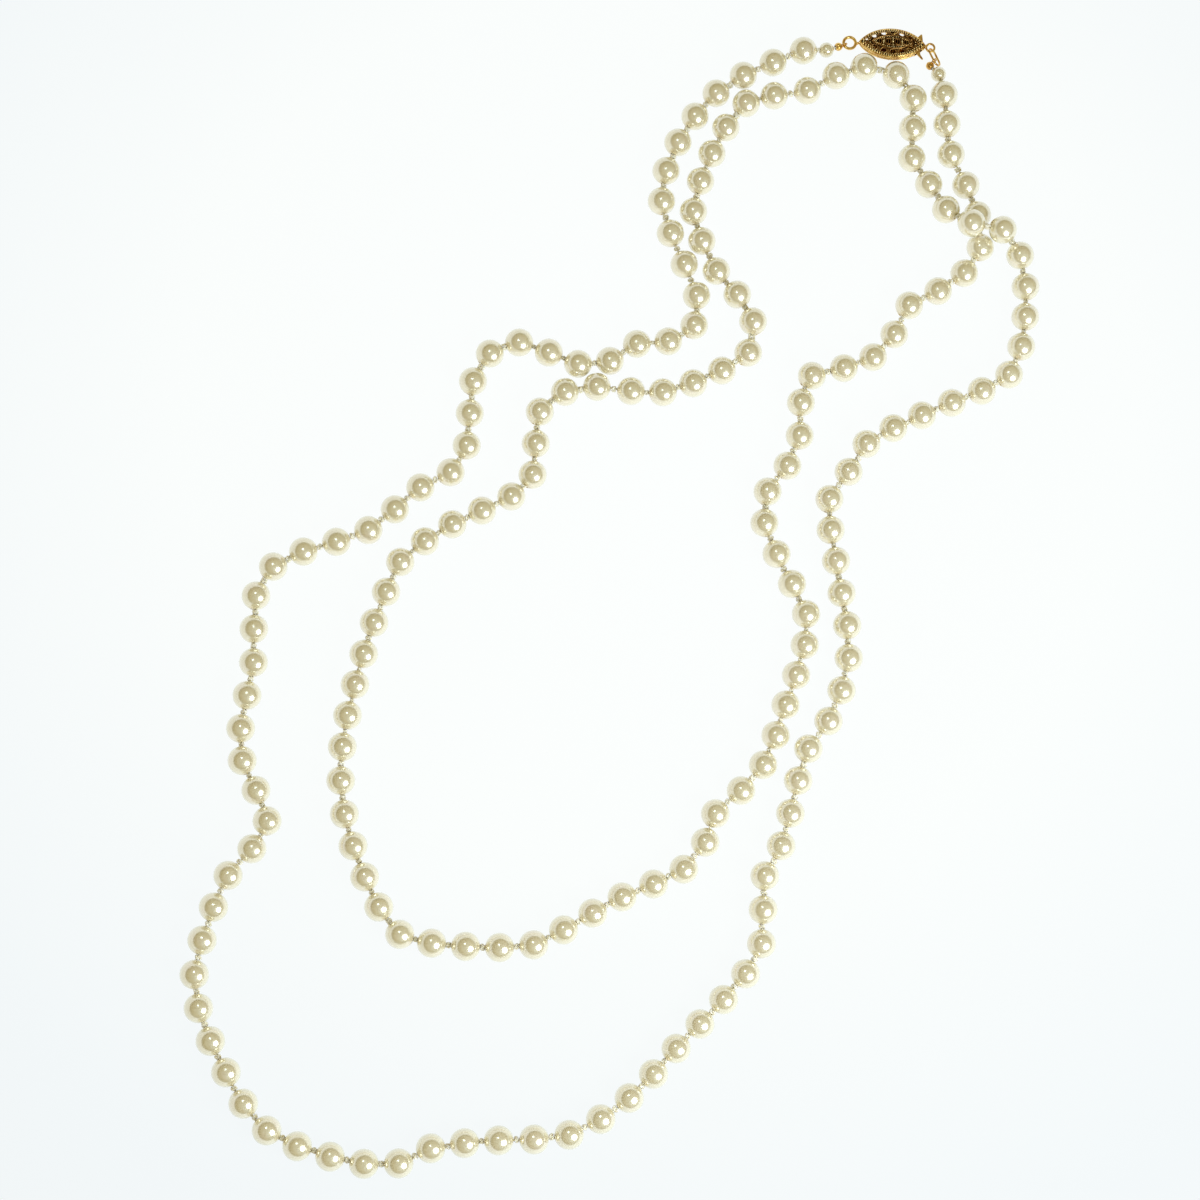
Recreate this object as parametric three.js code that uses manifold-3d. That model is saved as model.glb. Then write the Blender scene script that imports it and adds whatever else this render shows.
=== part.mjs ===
// A rope-length string of pearls, lying in two laps, with a fish-hook clasp.
// Millimetres, +Z up. The table is z = 0, +X is to the right and +Y is away from the wearer.
// The origin is under the middle of the laid-out necklace.
import * as THREE from "three";
import { mergeVertices } from "three/addons/utils/BufferGeometryUtils.js";
import Module from "manifold-3d";

const wasm = await Module();
wasm.setup();

// ---- Driving dimensions ----

const PEARL_COUNT = 175; // full-size pearls; one small pearl more stands at each end
const PEARL_RADIUS = 3.25;
const SMALL_PEARL_RADIUS = 1.8;
const BORE_RADIUS = 0.55;
const THREAD_RADIUS = 0.25;
const KNOT_RADIUS = 0.5;
const KNOT_CLEARANCE = 0.2; // from a loose knot to the pearl beside it
const KNOT_SHOULDER = 0.8; // a loose knot's radius at its ends, as a share of its middle
const JOIN_GAP = 0.3; // left between pieces that touch or are soldered on the real necklace

const LOOSE_PEARLS = 3; // pearls at each end that are pieces of their own
const SECTION_PEARLS = 5; // pearls knotted together in one section of the strand
const SECTION_SIDES = 8;
const LOOSE_SIDES = 12;

// The clasp's box is a pointed oval, pierced and domed on both sides.
const CLASP_CENTRE = [63.95, 129.23];
const CLASP_TURN = -2.7; // degrees, from the box end's tip towards the hook end's tip
const BOX_HALF_LENGTH = 7.87;
const BOX_HALF_WIDTH = 3.6;
const BOX_HEIGHT = 3.8;
const SHELL_THICKNESS = 0.35;
const SEAM_Z = 1.9; // where the front and back shells meet
const DOME_HALF_LENGTH = 10.2; // of the ellipsoids that the shells are cut from
const DOME_HALF_WIDTH = 4.67;
const FRONT_DOME = { centreZ: 0.6, height: 3.2 };
const BACK_DOME = { centreZ: 3.4, height: 3.5 };
const BORDER_HOLES_X = [-4.3, -2.1, 0.1, 2.2, 4.3];
const TIP_HOLES_X = [-6.15, 6.15];
const BORDER_HOLE = { halfLength: 0.7, halfWidth: 0.55, inset: 1.25 };
const TIP_HOLE = { halfLength: 0.6, halfWidth: 0.42, inset: 0.96 };
const CENTRE_HOLES_X = [-3.2, -1.1, 1.1, 3.2];
const CENTRE_HOLE = { halfLength: 0.65, halfWidth: 0.75 };
// The back shell's border holes reach its rim, so that light comes up through the box.
const BACK_HOLES_X = [-4.3, -2.1, 2.2];
const BACK_HOLE = { halfLength: 0.7, halfWidth: 0.6, inset: 0.4 };
const BACK_TIP_HOLE = { halfLength: 0.55, halfWidth: 0.5, inset: 0.3 };
const BACK_HOLE_HIGH_Z = 1.35;
const MOUTH = { startX: 5.3, endX: 9, halfWidth: 4, lowZ: 0.95, highZ: 2.6 };

// The fish-hook: a flat shank that goes in under the crossbar, and a leaf that springs back over it.
const HOOK_BEND_X = -5.5;
const HOOK_OUTER_X = 7.75;
const HOOK_HALF_WIDTH = 0.7;
const SHANK = { lowZ: 1.2, highZ: 1.45 };
const LEAF = { lowZ: 2.15, highZ: 2.35 };
// The leaf's outline at the mouth, from its lower edge round both horns of the thumb plate.
const HORNS = [
  [5.5, -0.7], [6, -2.4], [7.2, -3.55], [7.45, -3.35], [6.75, -2.3], [6.5, -0.7],
  [7.1, -0.7], [7.3, 0.7], [7.05, 2.75], [6.8, 2.8], [5.9, 1.9], [5.6, 0.7],
];
const CROSSBAR = { x: 0.3, z: 1.78, radius: 0.15, halfLength: 3 };

// Rings are given by the radius of their wire's centreline.
const RING_Z = 1.3;
const BOX_RING = { x: -9.95, radius: 1.42, wire: 0.33 };
const HOOK_RING = { x: 9.2, radius: 0.97, wire: 0.23 };
const LINK = { centre: [74.05, 126.43, 1.35], halfLength: 2.22, halfWidth: 1.15, wire: 0.2, tilt: -48 };
const LINK_DIRECTION = [0.41, -0.91];
const TIP_CUP = { radius: 0.98, wall: 0.25, mouth: 0.52 };
const CUP_KNOT = { radius: 0.42, halfBelt: 0.2, halfLength: 0.4 };
const TIP_LOOP = { radius: 0.7, wire: 0.17 };
const BOX_TIP_CENTRE = [51.34, 128.64, 1.45];
const HOOK_TIP_CENTRE = [72.95, 124.25, 1.4];
const BOX_SMALL_PEARL = [48.4, 127.5, 2.1];
const HOOK_SMALL_PEARL = [74.8, 121.9, 2.1];

// ---- The way the strand lies ----
// Each row is a pearl's number, then the x and y of its centre, and its z where it is off the table.
// The pearls between two rows stand evenly along the curve through all the rows.

const DOWN_THE_LEFT = [
  [1, 42.8, 126.8], [3, 28.6, 120.4], [4, 22.2, 115.9], [6, 13.2, 103.7], [8, 9.3, 89.3],
  [10, 14.5, 74.1], [11, 17.3, 66.6], [12, 16.7, 59.5], [13, 10.7, 55.6], [14, 3.5, 54.9],
  [15, -2.7, 50.8], [16, -10, 50], [18, -23.5, 54.9], [19, -30.2, 52.2], [20, -34, 45.6],
  [22, -35.3, 30.5], [23, -38.9, 24.2], [24, -45.7, 20.6], [26, -57.3, 10.6],
];
const ROUND_THE_NEAR_END = [
  [28, -71.8, 5.5], [29, -78.5, 2], [30, -82.2, -4.7], [32, -82.4, -19.9], [34, -84.9, -34.8],
  [35, -84.4, -42], [37, -78.6, -55.4], [38, -81.8, -61.6], [39, -86.9, -67.5], [42, -93.7, -89.2],
  [43, -92.6, -96.5], [45, -86.3, -110.3], [47, -77.2, -122.7], [50, -56.1, -129.8], [51, -48.6, -129.7],
  [52, -41.7, -126.5], [54, -27, -124.8], [56, -11.7, -123.6], [58, 1.4, -115.7],
];
const UP_THE_RIGHT = [
  [60, 11.7, -105], [63, 27.1, -88.7], [64, 30.7, -82.1], [66, 31.6, -67.1], [67, 35.3, -60.4],
  [70, 41.7, -38.6], [71, 46.3, -32.3], [73, 51.1, -17.9], [76, 48.6, 4.4], [78, 47.3, 18.8],
  [79, 51.8, 25.2], [80, 56, 31.8], [82, 68.9, 38.7], [85, 89.3, 48.6], [86, 92.3, 55.3],
  [88, 93.7, 69.7], [89, 92.5, 77, 4.1], [90, 88.1, 82.2, 7],
];
const CROSSING_AND_TURN = [
  [91, 80.6, 83.3, 8.3], [92, 75.3, 87.6, 5], [93, 71.7, 94.3], [94, 67.9, 100.6], [96, 68.5, 115.4],
  [97, 64.6, 121.1], [98, 57.1, 123], [99, 50.4, 120.7], [100, 43.6, 116.9], [101, 35.8, 115.5],
  [102, 29.2, 113.5], [103, 24.4, 107.5], [105, 18.4, 94.3], [106, 16.7, 86.9], [107, 18.6, 79.8],
  [108, 21.9, 72.6], [109, 26.7, 67], [110, 30.3, 60.6], [111, 29.1, 53.1], [112, 23, 48.8],
];
const INNER_LEFT = [
  [114, 9.4, 43.5], [115, 2.1, 43.7], [116, -5.7, 44.6], [117, -13, 43.3], [118, -18.7, 38.6],
  [119, -19.6, 31.1], [120, -20.3, 23.8], [121, -25.1, 18.7], [123, -38.4, 12.1], [125, -50, 3.3],
  [126, -53.1, -3.6], [128, -57.9, -17.8], [131, -62.3, -38.8], [133, -61.6, -53.8], [136, -53.7, -74.3],
];
const INNER_RIGHT = [
  [137, -49, -80.3], [138, -42, -82.2], [141, -19.6, -82.5], [142, -13, -79.2], [144, -0.1, -71.9],
  [146, 13.6, -65.7], [147, 18.4, -59.7], [148, 20.7, -53.3], [149, 26.5, -48.1], [150, 31.5, -42.3],
  [152, 36.7, -28.7], [154, 41.2, -15], [155, 41.6, -7.9], [156, 38.5, -1], [158, 32.4, 13.1],
];
const UNDER_THE_CROSSING = [
  [159, 33.2, 20.4], [160, 37.8, 26.5], [161, 40.7, 33.6], [162, 41.1, 41.4], [163, 43.7, 47.8],
  [164, 51.1, 49.7], [165, 57.9, 52.4], [166, 62.9, 57.9], [167, 66.5, 64.9], [168, 73.3, 68.4],
  [169, 79.5, 72.8], [170, 83.4, 79.1], [171, 82.9, 87.0], [172, 80.4, 94.2], [173, 77.1, 101.7],
  [174, 76.3, 109.1], [175, 75.8, 116.4],
];
const ROUTE = [
  ...DOWN_THE_LEFT,
  ...ROUND_THE_NEAR_END,
  ...UP_THE_RIGHT,
  ...CROSSING_AND_TURN,
  ...INNER_LEFT,
  ...INNER_RIGHT,
  ...UNDER_THE_CROSSING,
];

// ---- Materials ----

const NACRE = { color: 0xe9e4cf, roughness: 0.22, metalness: 0.0 };
const SILK = { color: 0xf1ead4, roughness: 0.85, metalness: 0.0 };
const GOLD = { color: 0xc9973a, roughness: 0.28, metalness: 1.0 };

// ---- Solids ----

// A closed geometry as a manifold solid.
function solidOf(geometry) {
  const bare = geometry.index ? geometry.toNonIndexed() : geometry.clone();
  bare.deleteAttribute("normal");
  bare.deleteAttribute("uv");
  const merged = mergeVertices(bare, 1e-4);
  const mesh = new wasm.Mesh({
    numProp: 3,
    vertProperties: merged.attributes.position.array,
    triVerts: new Uint32Array(merged.index.array),
  });
  return new wasm.Manifold(mesh);
}

function geometryOf(solid) {
  const mesh = solid.getMesh();
  const geometry = new THREE.BufferGeometry();
  geometry.setAttribute("position", new THREE.BufferAttribute(mesh.vertProperties, 3));
  geometry.setIndex(new THREE.BufferAttribute(mesh.triVerts, 1));
  return geometry;
}

// ---- The strand ----

// Where one pearl sits: y along its bore, z as far up as that allows.
function beadFrame(centre, direction) {
  const along = direction.clone().normalize();
  const side = along.clone().cross(new THREE.Vector3(0, 0, 1)).normalize();
  const up = side.clone().cross(along);
  const matrix = new THREE.Matrix4().makeBasis(side, along, up);
  matrix.setPosition(centre);
  return { centre, along, matrix };
}

// The centres of all the full-size pearls, along one curve.
function pearlCentres() {
  const stops = ROUTE.map(([, x, y, z = PEARL_RADIUS]) => new THREE.Vector3(x, y, z));
  const curve = new THREE.CatmullRomCurve3(stops);
  const steps = 50; // between one stop and the next, to measure the curve
  curve.arcLengthDivisions = steps * (stops.length - 1);
  const lengths = curve.getLengths();
  const total = curve.getLength();
  const centres = [stops[0]];
  for (let k = 1; k < stops.length; k += 1) {
    const from = lengths[steps * (k - 1)];
    const to = lengths[steps * k];
    const count = ROUTE[k][0] - ROUTE[k - 1][0];
    for (let i = 1; i <= count; i += 1) {
      const centre = curve.getPointAt((from + (i / count) * (to - from)) / total);
      centre.z = Math.max(centre.z, PEARL_RADIUS); // no pearl sinks into the table
      centres.push(centre);
    }
  }
  return centres;
}

// A frame at each place but the two outermost, whose bore points midway between its neighbours.
function beadFrames(places) {
  return places.slice(1, -1).map((centre, i) => {
    const before = centre.clone().sub(places[i]).normalize();
    const after = places[i + 2].clone().sub(centre).normalize();
    return beadFrame(centre, before.add(after));
  });
}

// A lathe whose rings are set on beads: each ring is [bead, offset along its bore, radius].
// The lathe's own height only numbers the rings.
function strungLathe(rings, sides) {
  const profile = rings.map(([, , radius], i) => new THREE.Vector2(radius, i));
  const geometry = new THREE.LatheGeometry(profile, sides);
  const position = geometry.getAttribute("position");
  const vertex = new THREE.Vector3();
  for (let i = 0; i < position.count; i += 1) {
    vertex.fromBufferAttribute(position, i);
    const [bead, offset] = rings[Math.round(vertex.y)];
    vertex.y = offset;
    vertex.applyMatrix4(bead.matrix);
    position.setXYZ(i, vertex.x, vertex.y, vertex.z);
  }
  return geometry;
}

// How far from a bead the silk beside it is cut, in the middle of the knot before the next bead.
function silkReach(bead, next) {
  return (bead.centre.distanceTo(next.centre) - JOIN_GAP) / 2;
}

// Pearls with the knots between them, as one solid that ends inside the knots on both sides.
function sectionGeometry(beads, before, after) {
  const pole = Math.sqrt(PEARL_RADIUS ** 2 - KNOT_RADIUS ** 2);
  const slope = PEARL_RADIUS * Math.SQRT1_2;
  const first = beads[0];
  const last = beads[beads.length - 1];
  const start = silkReach(first, before);
  const end = silkReach(last, after);
  const rings = beads.flatMap((bead) => [
    [bead, -pole, KNOT_RADIUS],
    [bead, -slope, slope],
    [bead, 0, PEARL_RADIUS],
    [bead, slope, slope],
    [bead, pole, KNOT_RADIUS],
  ]);
  rings.unshift([first, -start, 0], [first, -start, KNOT_RADIUS]);
  rings.push([last, end, KNOT_RADIUS], [last, end, 0]);
  return strungLathe(rings, SECTION_SIDES);
}

// A drilled pearl about its own bore, along y.
function pearlGeometry(radius) {
  const mouth = Math.asin(BORE_RADIUS / radius);
  const steps = 6;
  const profile = [];
  for (let i = 0; i <= steps; i += 1) {
    const angle = mouth + (i / steps) * (Math.PI - 2 * mouth);
    profile.push(new THREE.Vector2(radius * Math.sin(angle), -radius * Math.cos(angle)));
  }
  profile.push(profile[0].clone());
  return new THREE.LatheGeometry(profile, LOOSE_SIDES);
}

// A knot in the gap between two beads: rings midway between the two surfaces.
function knotRings(bead, radius, next, nextRadius) {
  const across = next.centre.clone().sub(bead.centre);
  const gap = across.length() - radius - nextRadius;
  const middle = bead.centre.clone().addScaledVector(across.clone().normalize(), radius + gap / 2);
  const knot = beadFrame(middle, across);
  const half = gap / 2 - KNOT_CLEARANCE;
  const fat = Math.min(KNOT_RADIUS, gap / 2);
  const ends = KNOT_SHOULDER * fat;
  return [[knot, -half, ends], [knot, 0, fat], [knot, half, ends]];
}

// The silk of one end of the strand: the thread through each bead, a knot in each gap, and the last
// knot inside the bead tip's cup. The other end stops inside the knot that the sections carry on from.
function silkGeometry(beads, radii, cup, cupFirst, neighbour) {
  const rings = [];
  beads.forEach((bead, i) => {
    rings.push([bead, -radii[i], THREAD_RADIUS], [bead, radii[i], THREAD_RADIUS]);
    if (i < beads.length - 1) {
      rings.push(...knotRings(bead, radii[i], beads[i + 1], radii[i + 1]));
    }
  });
  const { radius, halfBelt, halfLength } = CUP_KNOT;
  const cupKnot = [
    [cup, -halfLength, 0],
    [cup, -halfBelt, radius],
    [cup, halfBelt, radius],
    [cup, halfLength, THREAD_RADIUS],
  ];
  if (cupFirst) {
    const last = beads[beads.length - 1];
    const reach = silkReach(last, neighbour);
    rings.unshift(...cupKnot);
    rings.push([last, reach, THREAD_RADIUS], [last, reach, 0]);
  } else {
    const reach = silkReach(beads[0], neighbour);
    rings.unshift([beads[0], -reach, 0], [beads[0], -reach, THREAD_RADIUS]);
    rings.push(...cupKnot.reverse().map(([bead, offset, radius]) => [bead, -offset, radius]));
  }
  return strungLathe(rings, SECTION_SIDES);
}

// ---- The clasp ----

// The pointed oval made by two arcs.
function marquise(halfLength, halfWidth) {
  const radius = (halfLength ** 2 + halfWidth ** 2) / (2 * halfWidth);
  const drop = radius - halfWidth;
  const half = Math.asin(halfLength / radius);
  const shape = new THREE.Shape();
  shape.absarc(0, -drop, radius, Math.PI / 2 + half, Math.PI / 2 - half, true);
  shape.absarc(0, drop, radius, -Math.PI / 2 + half, -Math.PI / 2 - half, true);
  return shape;
}

function boxEdgeAt(x) {
  const radius = (BOX_HALF_LENGTH ** 2 + BOX_HALF_WIDTH ** 2) / (2 * BOX_HALF_WIDTH);
  return Math.sqrt(radius ** 2 - x ** 2) - (radius - BOX_HALF_WIDTH);
}

function prism(shape, lowZ, highZ) {
  const geometry = new THREE.ExtrudeGeometry(shape, {
    depth: highZ - lowZ,
    bevelEnabled: false,
    curveSegments: 12,
  });
  return solidOf(geometry.translate(0, 0, lowZ));
}

// The space that the mouth is cut with.
function mouthBlock() {
  const { startX, endX, halfWidth, lowZ, highZ } = MOUTH;
  const geometry = new THREE.BoxGeometry(endX - startX, 2 * halfWidth, highZ - lowZ);
  return solidOf(geometry.translate((startX + endX) / 2, 0, (lowZ + highZ) / 2));
}

function dome({ centreZ, height }, thinner) {
  const geometry = new THREE.SphereGeometry(1, 20, 10);
  geometry.rotateX(Math.PI / 2);
  geometry.scale(DOME_HALF_LENGTH - thinner, DOME_HALF_WIDTH - thinner, height - thinner);
  return solidOf(geometry.translate(0, 0, centreZ));
}

// A hole from below the box up to highZ.
function piercing(x, y, { halfLength, halfWidth }, highZ) {
  const geometry = new THREE.CylinderGeometry(1, 1, 1, 8).rotateX(Math.PI / 2);
  geometry.scale(halfLength, halfWidth, highZ + BOX_HEIGHT);
  return solidOf(geometry.translate(x, y, (highZ - BOX_HEIGHT) / 2));
}

// The same hole on both sides of the box at each place along it.
function piercings(placesX, hole, highZ) {
  return placesX.flatMap((x) => {
    const y = boxEdgeAt(x) - hole.inset;
    return [piercing(x, y, hole, highZ), piercing(x, -y, hole, highZ)];
  });
}

// Half of the box: a pierced dome from lowZ to highZ, hollow inside, open at the mouth.
function shellGeometry(domeShape, lowZ, highZ, holes) {
  const t = SHELL_THICKNESS;
  const outer = prism(marquise(BOX_HALF_LENGTH, BOX_HALF_WIDTH), lowZ, highZ);
  const inner = prism(marquise(BOX_HALF_LENGTH - 2 * t, BOX_HALF_WIDTH - t), lowZ - 1, highZ + 1);
  let shell = outer.intersect(dome(domeShape, 0)).subtract(inner.intersect(dome(domeShape, t)));
  shell = shell.subtract(mouthBlock());
  holes.forEach((hole) => {
    shell = shell.subtract(hole);
  });
  return geometryOf(shell);
}

function frontShellGeometry() {
  const highZ = 2 * BOX_HEIGHT;
  const holes = [
    ...piercings(BORDER_HOLES_X, BORDER_HOLE, highZ),
    ...piercings(TIP_HOLES_X, TIP_HOLE, highZ),
    ...CENTRE_HOLES_X.map((x) => piercing(x, 0, CENTRE_HOLE, highZ)),
  ];
  return shellGeometry(FRONT_DOME, SEAM_Z + JOIN_GAP / 2, BOX_HEIGHT, holes);
}

function backShellGeometry() {
  const holes = [
    ...piercings(BACK_HOLES_X, BACK_HOLE, BACK_HOLE_HIGH_Z),
    ...piercings(TIP_HOLES_X, BACK_TIP_HOLE, BACK_HOLE_HIGH_Z),
  ];
  return shellGeometry(BACK_DOME, 0, SEAM_Z - JOIN_GAP / 2, holes);
}

function crossbarGeometry() {
  const { x, z, radius, halfLength } = CROSSBAR;
  return new THREE.CylinderGeometry(radius, radius, 2 * halfLength, 8).translate(x, 0, z);
}

// The shank with its upward bend at the inner end, seen from the side and made as wide as the strip.
function shankGeometry() {
  const middle = (SHANK.lowZ + LEAF.highZ) / 2;
  const outer = (LEAF.highZ - SHANK.lowZ) / 2;
  const inner = outer - (SHANK.highZ - SHANK.lowZ);
  const shape = new THREE.Shape();
  shape.moveTo(HOOK_OUTER_X, SHANK.lowZ);
  shape.lineTo(HOOK_OUTER_X, SHANK.highZ);
  shape.lineTo(HOOK_BEND_X, SHANK.highZ);
  shape.absarc(HOOK_BEND_X, middle, inner, -Math.PI / 2, -1.35 * Math.PI, true);
  shape.absarc(HOOK_BEND_X, middle, outer, -1.35 * Math.PI, -0.5 * Math.PI, false);
  const geometry = new THREE.ExtrudeGeometry(shape, {
    depth: 2 * HOOK_HALF_WIDTH,
    bevelEnabled: false,
    curveSegments: 8,
  });
  geometry.rotateX(Math.PI / 2);
  return geometry.translate(0, HOOK_HALF_WIDTH, 0);
}

// The leaf, with the two horns of its thumb plate standing out on either side of the mouth.
function leafGeometry() {
  const start = HOOK_BEND_X + JOIN_GAP;
  const shape = new THREE.Shape();
  shape.moveTo(start, -HOOK_HALF_WIDTH);
  HORNS.forEach(([x, y]) => shape.lineTo(x, y));
  shape.lineTo(start, HOOK_HALF_WIDTH);
  const geometry = new THREE.ExtrudeGeometry(shape, {
    depth: LEAF.highZ - LEAF.lowZ,
    bevelEnabled: false,
  });
  return geometry.translate(0, 0, LEAF.lowZ);
}

function ringGeometry({ x, radius, wire }) {
  return new THREE.TorusGeometry(radius, wire, 6, 16).translate(x, 0, RING_Z);
}

// ---- The link and the bead tips ----

// An oval of round wire, lying along LINK_DIRECTION and leaning about that line.
function linkGeometry() {
  const { centre, halfLength, halfWidth, wire, tilt } = LINK;
  const straight = halfLength - halfWidth;
  const turns = 24;
  const points = Array.from({ length: turns }, (_, i) => {
    const angle = ((i + 0.5) / turns) * 2 * Math.PI;
    const shift = Math.cos(angle) > 0 ? straight : -straight;
    return new THREE.Vector3(shift + halfWidth * Math.cos(angle), halfWidth * Math.sin(angle), 0);
  });
  const section = new THREE.Shape();
  section.absarc(0, 0, wire, 0, 2 * Math.PI, false);
  const geometry = new THREE.ExtrudeGeometry(section, {
    steps: 24,
    curveSegments: 3,
    bevelEnabled: false,
    extrudePath: new THREE.CatmullRomCurve3(points),
  });
  geometry.rotateX(THREE.MathUtils.degToRad(tilt));
  geometry.rotateZ(Math.atan2(LINK_DIRECTION[1], LINK_DIRECTION[0]));
  return geometry.translate(...centre);
}

// A cup that holds the last knot, open towards the pearl, with a loop round the wire that it hangs on.
// wirePoint and wireDirection say where that wire runs.
function beadTipGeometry(cup, wirePoint, wireDirection) {
  const { radius, wall, mouth } = TIP_CUP;
  const arc = (size, from, to, steps) =>
    Array.from({ length: steps + 1 }, (_, i) => {
      const angle = from + (i / steps) * (to - from);
      return new THREE.Vector2(size * Math.cos(angle), size * Math.sin(angle));
    });
  const outerMouth = Math.acos(mouth / radius);
  const innerMouth = Math.acos(mouth / (radius - wall));
  const profile = [
    ...arc(radius, -Math.PI / 2, outerMouth, 6),
    ...arc(radius - wall, innerMouth, -Math.PI / 2, 5),
  ];
  profile[0].x = 0;
  profile[profile.length - 1].x = 0;
  const cupGeometry = new THREE.LatheGeometry(profile, 12).applyMatrix4(cup.matrix);
  const toCup = cup.centre.clone().sub(wirePoint).normalize();
  const normal = wireDirection.clone().projectOnPlane(toCup).normalize();
  const loop = new THREE.TorusGeometry(TIP_LOOP.radius, TIP_LOOP.wire, 6, 16);
  loop.applyQuaternion(new THREE.Quaternion().setFromUnitVectors(new THREE.Vector3(0, 0, 1), normal));
  loop.translate(...wirePoint);
  const hollow = new THREE.SphereGeometry(radius - wall, 12, 8).translate(...cup.centre);
  return geometryOf(solidOf(cupGeometry).add(solidOf(loop).subtract(solidOf(hollow))));
}

// ---- Assembly ----

const necklace = new THREE.Group();

function place(name, geometry, finish, parent = necklace) {
  const mesh = new THREE.Mesh(geometry, new THREE.MeshStandardMaterial(finish));
  mesh.name = name;
  parent.add(mesh);
}

const twoDigits = (n) => String(n).padStart(2, "0");
const threeDigits = (n) => String(n).padStart(3, "0");
const point = (coordinates) => new THREE.Vector3(...coordinates);

const boxCup = point(BOX_TIP_CENTRE);
const boxSmall = point(BOX_SMALL_PEARL);
const hookSmall = point(HOOK_SMALL_PEARL);
const hookCup = point(HOOK_TIP_CENTRE);
const frames = beadFrames([boxCup, boxSmall, ...pearlCentres(), hookSmall, hookCup]);
const beads = frames.slice(1, -1);

// Sections between the loose pearls of the two ends.
const sectionCount = Math.ceil((PEARL_COUNT - 2 * LOOSE_PEARLS) / SECTION_PEARLS);
for (let i = 0; i < sectionCount; i += 1) {
  const first = LOOSE_PEARLS + i * SECTION_PEARLS;
  const next = Math.min(first + SECTION_PEARLS, PEARL_COUNT - LOOSE_PEARLS);
  const section = sectionGeometry(beads.slice(first, next), beads[first - 1], beads[next]);
  place("strand_section_" + twoDigits(i + 1), section, NACRE);
}

// Loose pearls, counted from the box end.
beads.forEach((bead, i) => {
  if (i < LOOSE_PEARLS || i >= PEARL_COUNT - LOOSE_PEARLS) {
    const pearl = pearlGeometry(PEARL_RADIUS).applyMatrix4(bead.matrix);
    place("pearl_" + threeDigits(i + 1), pearl, NACRE);
  }
});

// One end of the strand: a small pearl, its bead tip, and the silk through them and the loose pearls.
// strungBeads has the end's beads in the strand's order; neighbour is the bead that carries on from them.
function addEnd(side, strungBeads, neighbour, cupCentre, wirePoint, wireDirection) {
  const atBox = side === "box";
  const smallBead = atBox ? strungBeads[0] : strungBeads[strungBeads.length - 1];
  const cup = beadFrame(cupCentre, smallBead.centre.clone().sub(cupCentre));
  const silkCup = atBox ? cup : beadFrame(cupCentre, cupCentre.clone().sub(smallBead.centre));
  const radii = strungBeads.map((bead) => (bead === smallBead ? SMALL_PEARL_RADIUS : PEARL_RADIUS));
  const smallPearl = pearlGeometry(SMALL_PEARL_RADIUS).applyMatrix4(smallBead.matrix);
  place("small_pearl_" + side + "_end", smallPearl, NACRE);
  place("bead_tip_" + side + "_end", beadTipGeometry(cup, wirePoint, wireDirection), GOLD);
  place("silk_" + side + "_end", silkGeometry(strungBeads, radii, silkCup, atBox, neighbour), SILK);
}

// The box end's loop goes round the ring's wire, on the side of the cup.
const turn = THREE.MathUtils.degToRad(CLASP_TURN);
const boxRingX = CLASP_CENTRE[0] + BOX_RING.x * Math.cos(turn);
const boxRingY = CLASP_CENTRE[1] + BOX_RING.x * Math.sin(turn);
const toCup = new THREE.Vector3(BOX_TIP_CENTRE[0] - boxRingX, BOX_TIP_CENTRE[1] - boxRingY, 0).normalize();
const boxWirePoint = new THREE.Vector3(boxRingX, boxRingY, RING_Z).addScaledVector(toCup, BOX_RING.radius);
const boxWireDirection = new THREE.Vector3(-toCup.y, toCup.x, 0);
const boxBeads = frames.slice(0, 1 + LOOSE_PEARLS);
addEnd("box", boxBeads, beads[LOOSE_PEARLS], boxCup, boxWirePoint, boxWireDirection);

// The hook end's loop goes round the upper side of the connecting link, near the link's far end.
const linkAlong = new THREE.Vector3(...LINK_DIRECTION, 0).normalize();
const linkTilt = THREE.MathUtils.degToRad(-LINK.tilt);
const linkSide = new THREE.Vector3(linkAlong.y, -linkAlong.x, 0).multiplyScalar(Math.cos(linkTilt));
linkSide.z = Math.sin(linkTilt);
const hookWirePoint = point(LINK.centre)
  .addScaledVector(linkAlong, LINK.halfLength - LINK.halfWidth)
  .addScaledVector(linkSide, LINK.halfWidth);
const hookBeads = frames.slice(-1 - LOOSE_PEARLS);
addEnd("hook", hookBeads, beads[PEARL_COUNT - LOOSE_PEARLS - 1], hookCup, hookWirePoint, linkAlong);
place("connecting_link", linkGeometry(), GOLD);

const clasp = new THREE.Group();
clasp.position.set(...CLASP_CENTRE, 0);
clasp.rotation.z = turn;
necklace.add(clasp);
place("clasp_front_shell", frontShellGeometry(), GOLD, clasp);
place("clasp_back_shell", backShellGeometry(), GOLD, clasp);
place("clasp_crossbar", crossbarGeometry(), GOLD, clasp);
place("clasp_box_ring", ringGeometry(BOX_RING), GOLD, clasp);
place("hook_shank", shankGeometry(), GOLD, clasp);
place("hook_spring_leaf", leafGeometry(), GOLD, clasp);
place("hook_ring", ringGeometry(HOOK_RING), GOLD, clasp);

export default necklace;
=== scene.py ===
import math
import random

import bpy
import numpy as np
from mathutils import Matrix, Vector
from mathutils.geometry import delaunay_2d_cdt


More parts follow.
